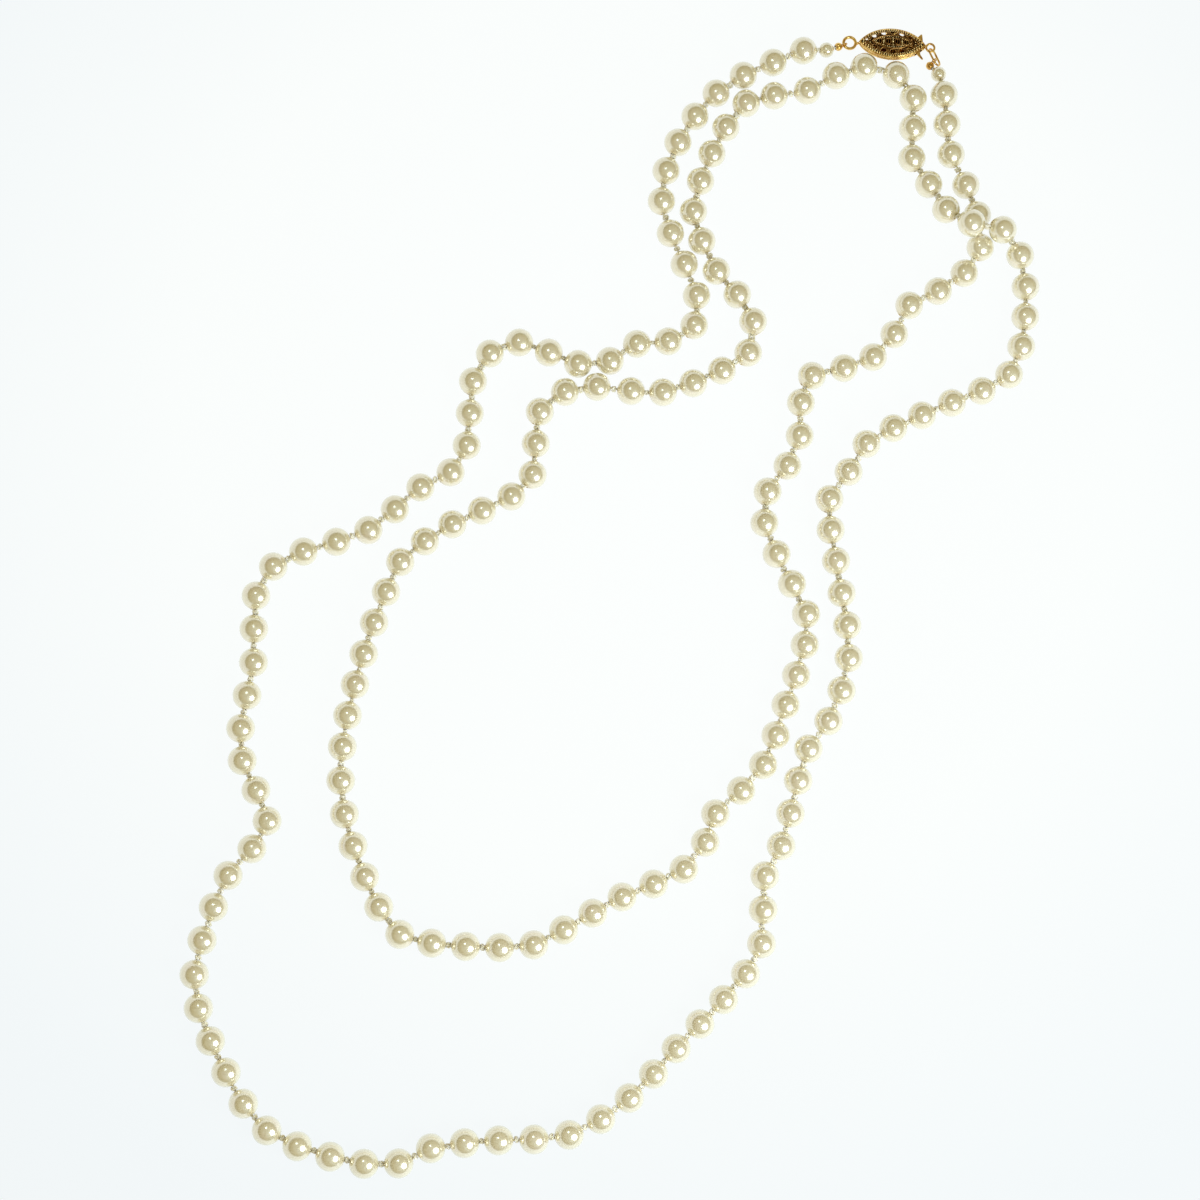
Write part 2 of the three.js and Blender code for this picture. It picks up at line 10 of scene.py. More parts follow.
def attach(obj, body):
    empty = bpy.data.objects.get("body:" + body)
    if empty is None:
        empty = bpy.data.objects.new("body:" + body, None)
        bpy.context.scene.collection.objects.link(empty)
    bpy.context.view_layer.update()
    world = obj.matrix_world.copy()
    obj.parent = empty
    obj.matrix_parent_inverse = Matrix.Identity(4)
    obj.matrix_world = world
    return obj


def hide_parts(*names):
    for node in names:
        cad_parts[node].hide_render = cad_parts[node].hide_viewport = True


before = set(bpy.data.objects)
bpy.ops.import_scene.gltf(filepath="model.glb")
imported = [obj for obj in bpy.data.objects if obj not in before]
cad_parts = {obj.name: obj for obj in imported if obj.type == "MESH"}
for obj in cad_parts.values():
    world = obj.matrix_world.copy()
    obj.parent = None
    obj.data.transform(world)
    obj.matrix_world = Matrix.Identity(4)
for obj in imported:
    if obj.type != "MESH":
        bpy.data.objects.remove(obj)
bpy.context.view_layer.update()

MM = 0.001  # the lists below are in millimetres, in the part's frame
UP = (0.0, 0.0, 1.0)

# ---- Driving dimensions ----

PEARL_COUNT = 175
PEARL_RADIUS = 3.25
SMALL_PEARL_RADIUS = 1.8
BORE_RADIUS = 0.32
BORE_ROUNDING = 0.12
THREAD_RADIUS = 0.25
SILK_STEPS = 8
LOOSE_PEARLS = 3
SECTION_PEARLS = 5

CLASP_CENTRE = (63.95, 129.23)
CLASP_TURN = math.radians(-2.7)
BOX_HALF_LENGTH = 7.87
BOX_HALF_WIDTH = 3.6
SEAM_Z = 1.9
SEAM_GAP = 0.05
SHELL_THICKNESS = 0.35
DOME_HALF_LENGTH = 10.2
DOME_HALF_WIDTH = 4.67
FRONT_DOME = (0.6, 3.2)  # centre height and half height of the ellipsoid
BACK_DOME = (3.4, -3.5)
MOUTH_X = 5.3  # the box is open from here to the hook end's tip
FRONT_LIP_Z = 2.45
BACK_LIP_Z = 0.95
LIP_THICKNESS = 0.1
LEDGE = 0.3  # how far in the front dome's edge is level with its outside
RIM_RADIUS = 0.09  # of the rolled edge of each shell
RIM_STAND_OUT = 0.03
# Holes, each as x and how far in from the box's edge; then half their length and half their width
BORDER_HOLES = [(x, 1.25) for x in (-4.3, -2.1, 0.1, 2.2, 4.3)]
BORDER_HOLE = (0.7, 0.55)
TIP_HOLES = [(x, 0.96) for x in (-6.15, 6.15)]
TIP_HOLE = (0.6, 0.42)
CENTRE_HOLES_X = (-3.2, -1.1, 1.1, 3.2)
CENTRE_HOLE = (0.65, 0.75)
BACK_HOLES = [(x, 0.4) for x in (-4.3, -2.1, 2.2)]
BACK_HOLE = (0.7, 0.6)
BACK_TIP_HOLES = [(x, 0.3) for x in (-6.15, 6.15)]
BACK_TIP_HOLE = (0.55, 0.5)
RIBS_X = (-5.3, -5.05, -3.35, -3.1, -1.15, -0.9, 1.05, 1.3, 3.15, 3.4, 5.1, 5.35)
BACK_RIM_INSET = 0.06  # the back's holes end here
BACK_WALL_FOOT = 1.35
BACK_PILLARS_X = (-5.3, -3.2, -0.6, 0.6, 3.4, 5.0)
BACK_PILLARS_Z = (0.85, 1.2, 1.5)
BACK_PILLAR = (0.18, 0.16)  # how far in from the edge, and its radius

# The front's ornament. A row or wire is given as how far in from the edge, then its radius, then its spacing.
RAISED, SUNK = 0.02, -0.02  # how far a wire's middle is off the dome
SHEET_INSET = 0.2
SHEET_DROP = 0.16  # how far below the dome the pierced sheet's face lies
SHEET_SPACING = 0.35
EDGE_WIRE = (0.1, 0.14)
FLUTES_REACH = 7.0
FLUTE_COUNT = 26
FLUTE_RUN = (0.2, 0.72)
FLUTE_LEAN = 0.5  # the share of the edge's own turn
FLUTE_RADII = (0.09, 0.16, 0.18, 0.15, 0.07)
SEAM_BEADS = (-0.01, 0.13, 0.42)
SEAM_BEADS_RISE = 0.5
BORDER_BEADS = (0.85, 0.12, 0.5)
BORDER_HOLE_WIRE = ((0.76, 0.6), 0.1)  # half its length and width, and its own radius
TIP_HOLE_WIRE = ((0.65, 0.47), 0.09)
CENTRE_HOLE_WIRE = (CENTRE_HOLE, 0.09)
RIB_RUN = (0.55, 1.75)
RIB_WIRE = 0.085
PANEL_WIRE = (2.02, 0.12)
PANEL_BEADS = (2.3, 0.115, 0.42)
SPLIT_BAR = (0.75, 0.06)  # half length and radius of the bar across a centre hole
LATTICE_X = (-2.15, 0.0, 2.15)
LATTICE_BAR = (1.15, 0.09)
LATTICE_BEADS_Y = (-0.85, -0.45, 0.0, 0.45, 0.85)
LATTICE_BEAD = 0.14
BOSS = 0.22
PANEL_ARC = (4.4, 0.84, 6.2)  # its reach, its height in the middle, and where it would meet the long axis
SCROLL_CENTRE = (4.45, 0.32)
SCROLL_SIZE = (0.36, 0.1)
SCROLL_WIRE = 0.075
END_BEADS = ((5.35, 0.3), (6.9, 0.2))
END_BEAD = 0.13

CROSSBAR = (0.3, 1.78, 0.15, 3.0)  # place along the clasp, height, radius and half length
RIVET = [(0.0, 0.6), (0.12, 1.45), (0.3, 1.5), (0.42, 1.0)]  # how far in, and the share of the bar's radius
HOOK_BEND_X = -5.5
HOOK_OUTER_X = 7.75
HOOK_HALF_WIDTH = 0.7
SHANK = (1.2, 1.45)  # its underside and its top
LEAF = (2.15, 2.35)
LEAF_START_X = -5.2
LEAF_ROUNDING = 0.12
HORNS = [
    (5.5, -0.7), (6, -2.4), (7.2, -3.55), (7.45, -3.35), (6.75, -2.3), (6.5, -0.7),
    (7.1, -0.7), (7.3, 0.7), (7.05, 2.75), (6.8, 2.8), (5.9, 1.9), (5.6, 0.7),
]
RIDGES = (((5.95, 1.6), (6.85, 2.55)), ((6.25, -2.45), (7.2, -3.3)))
RIDGE_RADII = (0.1, 0.14, 0.14, 0.13, 0.11, 0.06)
STRIP_ROUNDING = 0.06
RING_Z = 1.3
BOX_RING = (-9.95, 1.42, 0.36)  # place along the clasp, radius and wire radius
BOX_RING_SOLDER = (0.3, 0.42)  # how far beyond the ring its blob of solder is, and its radius
HOOK_RING = (9.2, 0.97, 0.26)
HOOK_RING_SOLDER = (0.2, 0.3)
LINK_CENTRE = (74.05, 126.43, 1.35)
LINK_DIRECTION = (0.41, -0.91, 0.0)
LINK_SIZE = (2.22, 1.15, 0.24)  # half length, half width and wire radius
LINK_LEAN = math.radians(48)
BOX_TIP_CENTRE = (51.34, 128.64, 1.45)
HOOK_TIP_CENTRE = (72.95, 124.25, 1.4)
BOX_SMALL_PEARL = (48.4, 127.5, 2.1)
HOOK_SMALL_PEARL = (74.8, 121.9, 2.1)
TIP_CUP = (0.98, 0.25, 0.52)  # radius, wall and mouth radius
TIP_LOOP = (0.7, 0.17)
TIP_SEAM = 0.06
CUP_SIDES = 28

CAMERA_PLACE = (-0.03139, -0.1315, 0.64389)  # metres, as are the places on the stage
CAMERA_AIM = (-0.00484, -0.00442, 0.0)
CAMERA_LENS = 87.0
SENSOR_WIDTH = 36.0

# ---- The way the strand lies, as in the CAD source ----
# Each row is a pearl's number, then the x and y of its centre, and its z where it is off the table.

STRETCHES = {
    "down_the_left": [
        (1, 42.8, 126.8), (3, 28.6, 120.4), (4, 22.2, 115.9), (6, 13.2, 103.7), (8, 9.3, 89.3),
        (10, 14.5, 74.1), (11, 17.3, 66.6), (12, 16.7, 59.5), (13, 10.7, 55.6), (14, 3.5, 54.9),
        (15, -2.7, 50.8), (16, -10, 50), (18, -23.5, 54.9), (19, -30.2, 52.2), (20, -34, 45.6),
        (22, -35.3, 30.5), (23, -38.9, 24.2), (24, -45.7, 20.6), (26, -57.3, 10.6),
    ],
    "round_the_near_end": [
        (28, -71.8, 5.5), (29, -78.5, 2), (30, -82.2, -4.7), (32, -82.4, -19.9), (34, -84.9, -34.8),
        (35, -84.4, -42), (37, -78.6, -55.4), (38, -81.8, -61.6), (39, -86.9, -67.5), (42, -93.7, -89.2),
        (43, -92.6, -96.5), (45, -86.3, -110.3), (47, -77.2, -122.7), (50, -56.1, -129.8),
        (51, -48.6, -129.7), (52, -41.7, -126.5), (54, -27, -124.8), (56, -11.7, -123.6), (58, 1.4, -115.7),
    ],
    "up_the_right": [
        (60, 11.7, -105), (63, 27.1, -88.7), (64, 30.7, -82.1), (66, 31.6, -67.1), (67, 35.3, -60.4),
        (70, 41.7, -38.6), (71, 46.3, -32.3), (73, 51.1, -17.9), (76, 48.6, 4.4), (78, 47.3, 18.8),
        (79, 51.8, 25.2), (80, 56, 31.8), (82, 68.9, 38.7), (85, 89.3, 48.6), (86, 92.3, 55.3),
        (88, 93.7, 69.7), (89, 92.5, 77, 4.1), (90, 88.1, 82.2, 7),
    ],
    "crossing_and_turn": [
        (91, 80.6, 83.3, 8.3), (92, 75.3, 87.6, 5), (93, 71.7, 94.3), (94, 67.9, 100.6), (96, 68.5, 115.4),
        (97, 64.6, 121.1), (98, 57.1, 123), (99, 50.4, 120.7), (100, 43.6, 116.9), (101, 35.8, 115.5),
        (102, 29.2, 113.5), (103, 24.4, 107.5), (105, 18.4, 94.3), (106, 16.7, 86.9), (107, 18.6, 79.8),
        (108, 21.9, 72.6), (109, 26.7, 67), (110, 30.3, 60.6), (111, 29.1, 53.1), (112, 23, 48.8),
    ],
    "inner_left": [
        (114, 9.4, 43.5), (115, 2.1, 43.7), (116, -5.7, 44.6), (117, -13, 43.3), (118, -18.7, 38.6),
        (119, -19.6, 31.1), (120, -20.3, 23.8), (121, -25.1, 18.7), (123, -38.4, 12.1), (125, -50, 3.3),
        (126, -53.1, -3.6), (128, -57.9, -17.8), (131, -62.3, -38.8), (133, -61.6, -53.8),
        (136, -53.7, -74.3),
    ],
    "inner_right": [
        (137, -49, -80.3), (138, -42, -82.2), (141, -19.6, -82.5), (142, -13, -79.2), (144, -0.1, -71.9),
        (146, 13.6, -65.7), (147, 18.4, -59.7), (148, 20.7, -53.3), (149, 26.5, -48.1), (150, 31.5, -42.3),
        (152, 36.7, -28.7), (154, 41.2, -15), (155, 41.6, -7.9), (156, 38.5, -1), (158, 32.4, 13.1),
    ],
    "under_the_crossing": [
        (159, 33.2, 20.4), (160, 37.8, 26.5), (161, 40.7, 33.6), (162, 41.1, 41.4), (163, 43.7, 47.8),
        (164, 51.1, 49.7), (165, 57.9, 52.4), (166, 62.9, 57.9), (167, 66.5, 64.9), (168, 73.3, 68.4),
        (169, 79.5, 72.8), (170, 83.4, 79.1), (171, 82.9, 87), (172, 80.4, 94.2), (173, 77.1, 101.7),
        (174, 76.3, 109.1), (175, 75.8, 116.4),
    ],
}


def route_point(points, t):
    """The centripetal curve through the points, at t from 0 to 1."""
    last = len(points) - 1
    i = min(int(t * last), last - 1)
    w = t * last - i
    p1, p2 = points[i], points[i + 1]
    p0 = points[i - 1] if i > 0 else 2 * p1 - p2
    p3 = points[i + 2] if i + 2 <= last else 2 * p2 - p1
    d0, d1, d2 = (math.sqrt(np.linalg.norm(b - a)) for a, b in ((p0, p1), (p1, p2), (p2, p3)))
    t1 = ((p1 - p0) / d0 - (p2 - p0) / (d0 + d1) + (p2 - p1) / d1) * d1
    t2 = ((p2 - p1) / d1 - (p3 - p1) / (d1 + d2) + (p3 - p2) / d2) * d1
    return p1 + t1 * w + (-3 * p1 + 3 * p2 - 2 * t1 - t2) * w**2 + (2 * p1 - 2 * p2 + t1 + t2) * w**3


def pearl_centres():
    """The centre of each full-size pearl, evenly spaced between the rows of the route."""
    rows = [row for stretch in STRETCHES.values() for row in stretch]
    points = [np.array((r[1], r[2], r[3] if len(r) > 3 else PEARL_RADIUS)) for r in rows]
    steps = 50
    share = np.linspace(0, 1, steps * (len(points) - 1) + 1)
    line = np.array([route_point(points, t) for t in share])
    lengths = np.concatenate([[0], np.cumsum(np.linalg.norm(np.diff(line, axis=0), axis=1))])
    centres = [points[0]]
    for k in range(1, len(rows)):
        count = rows[k][0] - rows[k - 1][0]
        start, end = lengths[steps * (k - 1)], lengths[steps * k]
        for i in range(1, count + 1):
            t = np.interp(start + i / count * (end - start), lengths, share)
            centre = route_point(points, t)
            centre[2] = max(centre[2], PEARL_RADIUS)
            centres.append(centre)
    return centres


def unit(v):
    return v / np.linalg.norm(v)


class Bead:
    """A pearl's place on the silk: its centre, the way its bore runs, and its radius."""

    def __init__(self, centre, along, radius):
        self.centre = centre
        self.along = unit(along)
        self.radius = radius
        side = unit(np.cross(self.along, UP))
        self.axes = np.array([side, self.along, np.cross(side, self.along)])

    def place(self, points):
        """Points about the bead's own bore, which is y, in the part's frame."""
        return points @ self.axes + self.centre


def strung_beads():
    """All the pearls in order from the box end, the two small ones included."""
    ends = [np.array(p) for p in (BOX_TIP_CENTRE, BOX_SMALL_PEARL, HOOK_SMALL_PEARL, HOOK_TIP_CENTRE)]
    places = [*ends[:2], *pearl_centres(), *ends[2:]]
    beads = []
    for before, centre, after in zip(places, places[1:], places[2:]):
        small = centre is ends[1] or centre is ends[2]
        radius = SMALL_PEARL_RADIUS if small else PEARL_RADIUS
        beads.append(Bead(centre, unit(centre - before) + unit(after - centre), radius))
    return beads


BEADS = strung_beads()  # BEADS[n] is pearl n, and the first and last are the small ones

# ---- Camera ----


def new_object(name, data):
    made = bpy.data.objects.new(name, data)
    bpy.context.scene.collection.objects.link(made)
    return made


def make_camera():
    place, aim = Vector(CAMERA_PLACE), Vector(CAMERA_AIM)
    back = (place - aim).normalized()
    right = Vector((0, 1, 0)).cross(back).normalized()
    camera = new_object("camera", bpy.data.cameras.new("camera"))
    camera.matrix_world = Matrix((right, back.cross(right), back)).transposed().to_4x4()
    camera.location = place
    camera.data.lens = CAMERA_LENS
    camera.data.sensor_width = SENSOR_WIDTH
    camera.data.clip_start = 0.01
    bpy.context.scene.camera = camera


make_camera()

# ---- Materials ----


def new_material(name):
    """A material, its nodes, links and shader, and the object's coordinates as a socket."""
    material = bpy.data.materials.new(name)
    material.use_nodes = True
    nodes = material.node_tree.nodes
    where = nodes.new("ShaderNodeTexCoord").outputs["Object"]
    return material, nodes, material.node_tree.links, nodes["Principled BSDF"], where


def set_inputs(node, values):
    for name, value in values.items():
        node.inputs[name].default_value = value


def colour_ramp(nodes, links, factor, stops):
    ramp = nodes.new("ShaderNodeValToRGB")
    elements = ramp.color_ramp.elements
    while len(elements) < len(stops):
        elements.new(0.5)
    for element, (position, colour) in zip(elements, stops):
        element.position = position
        element.color = (*colour, 1.0)
    links.new(factor, ramp.inputs["Fac"])
    return ramp.outputs["Color"]


def noise(nodes, links, coordinates, scale, detail):
    texture = nodes.new("ShaderNodeTexNoise")
    set_inputs(texture, {"Scale": scale, "Detail": detail})
    links.new(coordinates, texture.inputs["Vector"])
    return texture.outputs["Fac"]


def mix_colours(nodes, links, factor, a, b, kind="MIX"):
    mix = nodes.new("ShaderNodeMix")
    mix.data_type = "RGBA"
    mix.blend_type = kind
    for socket, value in ((mix.inputs["Factor"], factor), (mix.inputs["A"], a), (mix.inputs["B"], b)):
        if isinstance(value, (tuple, float)):
            socket.default_value = (*value, 1.0) if isinstance(value, tuple) else value
        else:
            links.new(value, socket)
    return mix.outputs["Result"]


def add_bump(nodes, links, shader, height, strength, distance):
    bump = nodes.new("ShaderNodeBump")
    set_inputs(bump, {"Strength": strength, "Distance": distance})
    links.new(height, bump.inputs["Height"])
    links.new(bump.outputs["Normal"], shader.inputs["Normal"])


def nacre_material():
    material, nodes, links, shader, where = new_material("nacre")
    creams = [(0.3, (0.9, 0.85, 0.69)), (0.5, (0.93, 0.89, 0.73)), (0.7, (0.94, 0.88, 0.76))]
    body = colour_ramp(nodes, links, noise(nodes, links, where, 420.0, 3.0), creams)
    # a rose overtone that turns to a cool one where the surface turns away
    turned = nodes.new("ShaderNodeLayerWeight")
    turned.inputs["Blend"].default_value = 0.35
    tints = [(0.0, (1.0, 0.97, 0.94)), (0.35, (1.0, 0.99, 0.93)), (0.75, (0.95, 1.0, 1.0))]
    overtone = colour_ramp(nodes, links, turned.outputs["Facing"], tints)
    toned = mix_colours(nodes, links, 1.0, body, overtone, "MULTIPLY")
    # painted reflection: the base colour turns yellow-brown at the bore's mouth, standing in for the
    # neighbouring pearls mirrored there
    bore = nodes.new("ShaderNodeAttribute")
    bore.attribute_name = "off_bore"
    bore_reflection_stops = [(0.0, (1, 1, 1)), (0.2, (0.6, 0.6, 0.6)), (0.5, (0, 0, 0))]
    bore_reflection = colour_ramp(nodes, links, bore.outputs["Fac"], bore_reflection_stops)
    links.new(mix_colours(nodes, links, bore_reflection, toned, (0.7, 0.55, 0.25)), shader.inputs["Base Color"])
    set_inputs(shader, {"Metallic": 0.45, "Roughness": 0.2, "IOR": 1.68})
    set_inputs(shader, {"Coat Weight": 1.0, "Coat Roughness": 0.09, "Coat IOR": 1.9})
    ripple = noise(nodes, links, where, 1500.0, 2.0)
    add_bump(nodes, links, shader, ripple, 0.04, 0.0001)
    return material


def silk_material():
    material, nodes, links, shader, where = new_material("silk")
    creams = [(0.25, (0.94, 0.86, 0.68)), (0.6, (0.98, 0.95, 0.85)), (0.85, (0.99, 0.98, 0.93))]
    body = colour_ramp(nodes, links, noise(nodes, links, where, 1800.0, 3.0), creams)
    links.new(body, shader.inputs["Base Color"])
    set_inputs(shader, {
        "Roughness": 0.6, "Sheen Weight": 1.0, "Sheen Roughness": 0.5,
        "Subsurface Weight": 0.25, "Subsurface Radius": (1.0, 0.9, 0.7), "Subsurface Scale": 0.0005,
    })
    fibres = nodes.new("ShaderNodeTexWave")
    set_inputs(fibres, {"Scale": 2200.0, "Distortion": 3.0})
    links.new(where, fibres.inputs["Vector"])
    add_bump(nodes, links, shader, fibres.outputs["Fac"], 0.12, 0.00004)
    return material


def gold_material(name, bright, dark, roughness):
    """Gold plate, from its bright colour to its tarnished one in patches."""
    material, nodes, links, shader, where = new_material(name)
    patches = noise(nodes, links, where, 900.0, 4.0)
    body = colour_ramp(nodes, links, patches, [(0.35, dark), (0.62, bright)])
    links.new(body, shader.inputs["Base Color"])
    set_inputs(shader, {"Metallic": 1.0, "Roughness": roughness})
    scratches = noise(nodes, links, where, 5000.0, 2.0)
    add_bump(nodes, links, shader, scratches, 0.15, 0.00003)
    return material


NACRE = nacre_material()
SILK = silk_material()
GOLD = gold_material("gold", (0.92, 0.64, 0.22), (0.55, 0.3, 0.08), 0.12)
# painted shade: the wires inside the front's border are a darker copy of the dome's gold
GOLD_WIRE_PAINTED_SHADE = gold_material("gold_wire_painted_shade", (0.5, 0.28, 0.09), (0.22, 0.1, 0.03), 0.16)
# painted highlight: a paler, brighter copy of the gold for the beads and flutes, standing in for their glints
GOLD_PAINTED_HIGHLIGHT = gold_material("gold_bead_painted_highlight", (1.0, 0.86, 0.48), (0.95, 0.68, 0.28), 0.28)
# painted shade: near-black gold for the pierced sheet that lies below the wires, standing in for the shade in
# its hollows
GOLD_PAINTED_SHADE = gold_material("gold_painted_shade", (0.07, 0.03, 0.01), (0.03, 0.015, 0.006), 0.45)

# ---- Meshes ----

TINY = 1e-4


class Shape:
    """Points in millimetres and faces, gathered from several solids into one piece."""

    def __init__(self):
        self.points, self.faces, self.finishes, self.values = [], [], [], []
        self.count = 0

    def add(self, points, faces, finish=0, values=None):
        self.points.append(np.asarray(points, float))
        self.faces += [tuple(i + self.count for i in face) for face in faces]
        self.finishes += [finish] * len(faces)
        self.values.append(np.ones(len(points)) if values is None else np.asarray(values, float))
        self.count += len(points)

    def piece(self, name, materials, attribute=None):
        mesh = bpy.data.meshes.new(name)
        mesh.from_pydata(np.concatenate(self.points) * MM, [], self.faces)
        for material in materials:
            mesh.materials.append(material)
        mesh.polygons.foreach_set("material_index", self.finishes)
        mesh.polygons.foreach_set("use_smooth", [True] * len(self.faces))
        if attribute:
            layer = mesh.attributes.new(attribute, "FLOAT", "POINT")
            layer.data.foreach_set("value", np.concatenate(self.values).astype(np.float32))
        mesh.update()
        return new_object(name, mesh)


def ring_faces(rings, sides, close_rings=False):
    """Quads between rings of points, one ring after another."""
    faces = []
    for r in range(rings if close_rings else rings - 1):
        after = (r + 1) % rings
        for s in range(sides):
            t = (s + 1) % sides
            faces.append((r * sides + s, after * sides + s, after * sides + t, r * sides + t))
    return faces


def lathe(profile, sides, closed=True):
    """Points of (radius, height) turned about y; a closed profile joins its last ring to its first."""
    angles = np.arange(sides) * 2 * math.pi / sides
    points = [(r * math.sin(a), h, r * math.cos(a)) for r, h in profile for a in angles]
    return np.array(points), ring_faces(len(profile), sides, close_rings=closed)


def tube(path, radius, sides, closed=False):
    """A round wire along a path; radius may be a number or one for each point."""
    path = np.asarray(path, float)
    count = len(path)
    radii = np.broadcast_to(radius, count)
    if closed:
        tangents = np.roll(path, -1, axis=0) - np.roll(path, 1, axis=0)
    else:
        tangents = np.gradient(path, axis=0)
    normal = np.cross(tangents[0], UP)
    if np.linalg.norm(normal) < 1e-6:
        normal = np.array((1.0, 0.0, 0.0))
    points = []
    for place, tangent, r in zip(path, tangents, radii):
        tangent = unit(tangent)
        normal = unit(normal - tangent * (normal @ tangent))
        other = np.cross(tangent, normal)
        for s in range(sides):
            a = 2 * math.pi * s / sides
            points.append(place + r * (math.cos(a) * normal + math.sin(a) * other))
    faces = ring_faces(count, sides, close_rings=closed)
    if not closed:
        faces += [tuple(range(sides)), tuple(reversed(range((count - 1) * sides, count * sides)))]
    return np.array(points), faces


def ball(centre, radius, sides, rings):
    """A ball whose poles are up and down, each a very small ring."""
    angles = np.linspace(0, math.pi, rings + 1)
    profile = [(max(TINY, radius * math.sin(a)), -radius * math.cos(a)) for a in angles]
    points, faces = lathe(profile, sides, closed=False)
    return points[:, [0, 2, 1]] * (1, -1, 1) + centre, faces


# ---- Pearls ----

PEARL_SIDES = 48
PEARL_RINGS = 26
BORE_RINGS = 4
LIP_SHARE = 0.35  # where the rounding of the bore's mouth has its middle ring


def pearl_profile(radius):
    """A sphere with a drilled bore whose mouths are slightly rounded."""
    mouth = math.asin((BORE_RADIUS + BORE_ROUNDING) / radius)
    angles = np.linspace(mouth, math.pi - mouth, PEARL_RINGS)
    outside = [(radius * math.sin(a), -radius * math.cos(a)) for a in angles]
    lip = radius * math.cos(mouth) - LIP_SHARE * BORE_ROUNDING
    inner = lip - BORE_ROUNDING
    bore = [(BORE_RADIUS, height) for height in np.linspace(inner, -inner, BORE_RINGS)]
    rounding = BORE_RADIUS + LIP_SHARE * BORE_ROUNDING
    return [*outside, (rounding, lip), *bore, (rounding, -lip)]


def add_pearl(shape, bead):
    profile = pearl_profile(bead.radius)
    points, faces = lathe(profile, PEARL_SIDES)
    faces = [tuple(reversed(face)) for face in faces]
    off_bore = np.hypot(points[:, 0], points[:, 2]) / bead.radius
    shape.add(bead.place(points), faces, values=off_bore)


# ---- Knots ----

KNOT_STEPS = 40
KNOT_SIDES = 7
KNOT_STRAND = 0.28
KNOT_SIZES = (0.17, 0.21)  # a third of the trefoil's radius, from the smallest to the largest
KNOT_LEAN = 0.2  # how far to one side of the thread a knot may stand
KNOT_RISE = 0.26
KNOT_SEED = 7
ROOMY_GAP = 1.0  # a knot in a narrower gap than this is made smaller


def add_knot(shape, bead, following, draw):
    """An overhand knot pulled tight in the gap between two beads."""
    across = following.centre - bead.centre
    gap = np.linalg.norm(across) - bead.radius - following.radius
    along = unit(across)
    middle = bead.centre + along * (bead.radius + gap / 2)
    fit = min(1.0, gap / ROOMY_GAP)
    roll = draw.uniform(0, 2 * math.pi)
    side = unit(np.cross(along, UP))
    up = np.cross(side, along)
    x = math.cos(roll) * side + math.sin(roll) * up
    y = -math.sin(roll) * side + math.cos(roll) * up
    width = draw.uniform(*KNOT_SIZES) * fit
    t = np.arange(KNOT_STEPS) * 2 * math.pi / KNOT_STEPS
    wide = np.outer(np.sin(t) + 2 * np.sin(2 * t), x) + np.outer(np.cos(t) - 2 * np.cos(2 * t), y)
    lean = draw.uniform(-KNOT_LEAN, KNOT_LEAN)
    path = middle + width * wide + np.outer(-np.sin(3 * t) * KNOT_RISE * fit, along) + lean * x
    shape.add(*tube(path, KNOT_STRAND * fit, KNOT_SIDES, closed=True))


# ---- Cords: the silk, one stretch after another ----


def silk_line(beads, first=None, last=None):
    """Points down the middle of the bores, from the place before the beads to the one after."""
    stops = [(bead.centre, bead.along * bead.radius) for bead in beads]
    if first is not None:
        stops.insert(0, (first, unit(beads[0].centre - first)))
    if last is not None:
        stops.append((last, unit(last - beads[-1].centre)))
    points = []
    for (a, lead), (b, trail) in zip(stops, stops[1:]):
        for t in np.arange(SILK_STEPS) / SILK_STEPS:
            u = 1 - t
            points.append(u**3 * a + 3 * u * u * t * (a + lead) + 3 * u * t * t * (b - trail) + t**3 * b)
    return np.array([*points, stops[-1][0]])


def silk_curve(name, line):
    curve = bpy.data.curves.new(name, "CURVE")
    curve.dimensions = "3D"
    curve.bevel_depth = THREAD_RADIUS * MM
    curve.bevel_resolution = 2
    curve.use_fill_caps = True
    spline = curve.splines.new("POLY")
    spline.points.add(len(line) - 1)
    for point, place in zip(spline.points, line):
        point.co = (*(place * MM), 1.0)
    curve.materials.append(SILK)
    return new_object(name, curve)


def between(bead, following):
    """The middle of the gap between two beads."""
    across = following.centre - bead.centre
    return bead.centre + unit(across) * (np.linalg.norm(across) + bead.radius - following.radius) / 2


def lay_silk():
    """One cord for each stretch of the route. The last one ends where the hook end's silk turns."""
    turning = PEARL_COUNT - LOOSE_PEARLS
    turn = between(BEADS[turning], BEADS[turning + 1])
    firsts = [0] + [rows[0][0] for rows in list(STRETCHES.values())[1:]]
    for name, first, last in zip(STRETCHES, firsts, [*firsts[1:], turning]):
        start = np.array(BOX_TIP_CENTRE) if first == 0 else None
        end = turn if last == turning else None
        line = silk_line(BEADS[first:last + 1], start, end)
        cord = silk_curve("silk_" + name, line)
        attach(cord, "necklace")
        if first == 0:
            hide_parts("silk_box_end")
    thread = Shape()
    line = silk_line(BEADS[turning + 1:], turn, np.array(HOOK_TIP_CENTRE))
    thread.add(*tube(line, THREAD_RADIUS, 8))
    tail = thread.piece("silk_to_the_hook", [SILK])
    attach(tail, "strand_end")
    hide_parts("silk_hook_end")


lay_silk()


def string_pearls(name, numbers, node, body):
    """The pearls of the given numbers, as one piece."""
    pearls = Shape()
    for n in numbers:
        add_pearl(pearls, BEADS[n])
    piece = pearls.piece(name, [NACRE], "off_bore")
    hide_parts(node)
    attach(piece, body)


def tie_knots(name, numbers, body, draw):
    """The knots that follow the pearls of the given numbers, as one piece."""
    knots = Shape()
    for n in numbers:
        add_knot(knots, BEADS[n], BEADS[n + 1], draw)
    piece = knots.piece(name, [SILK])
    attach(piece, body)


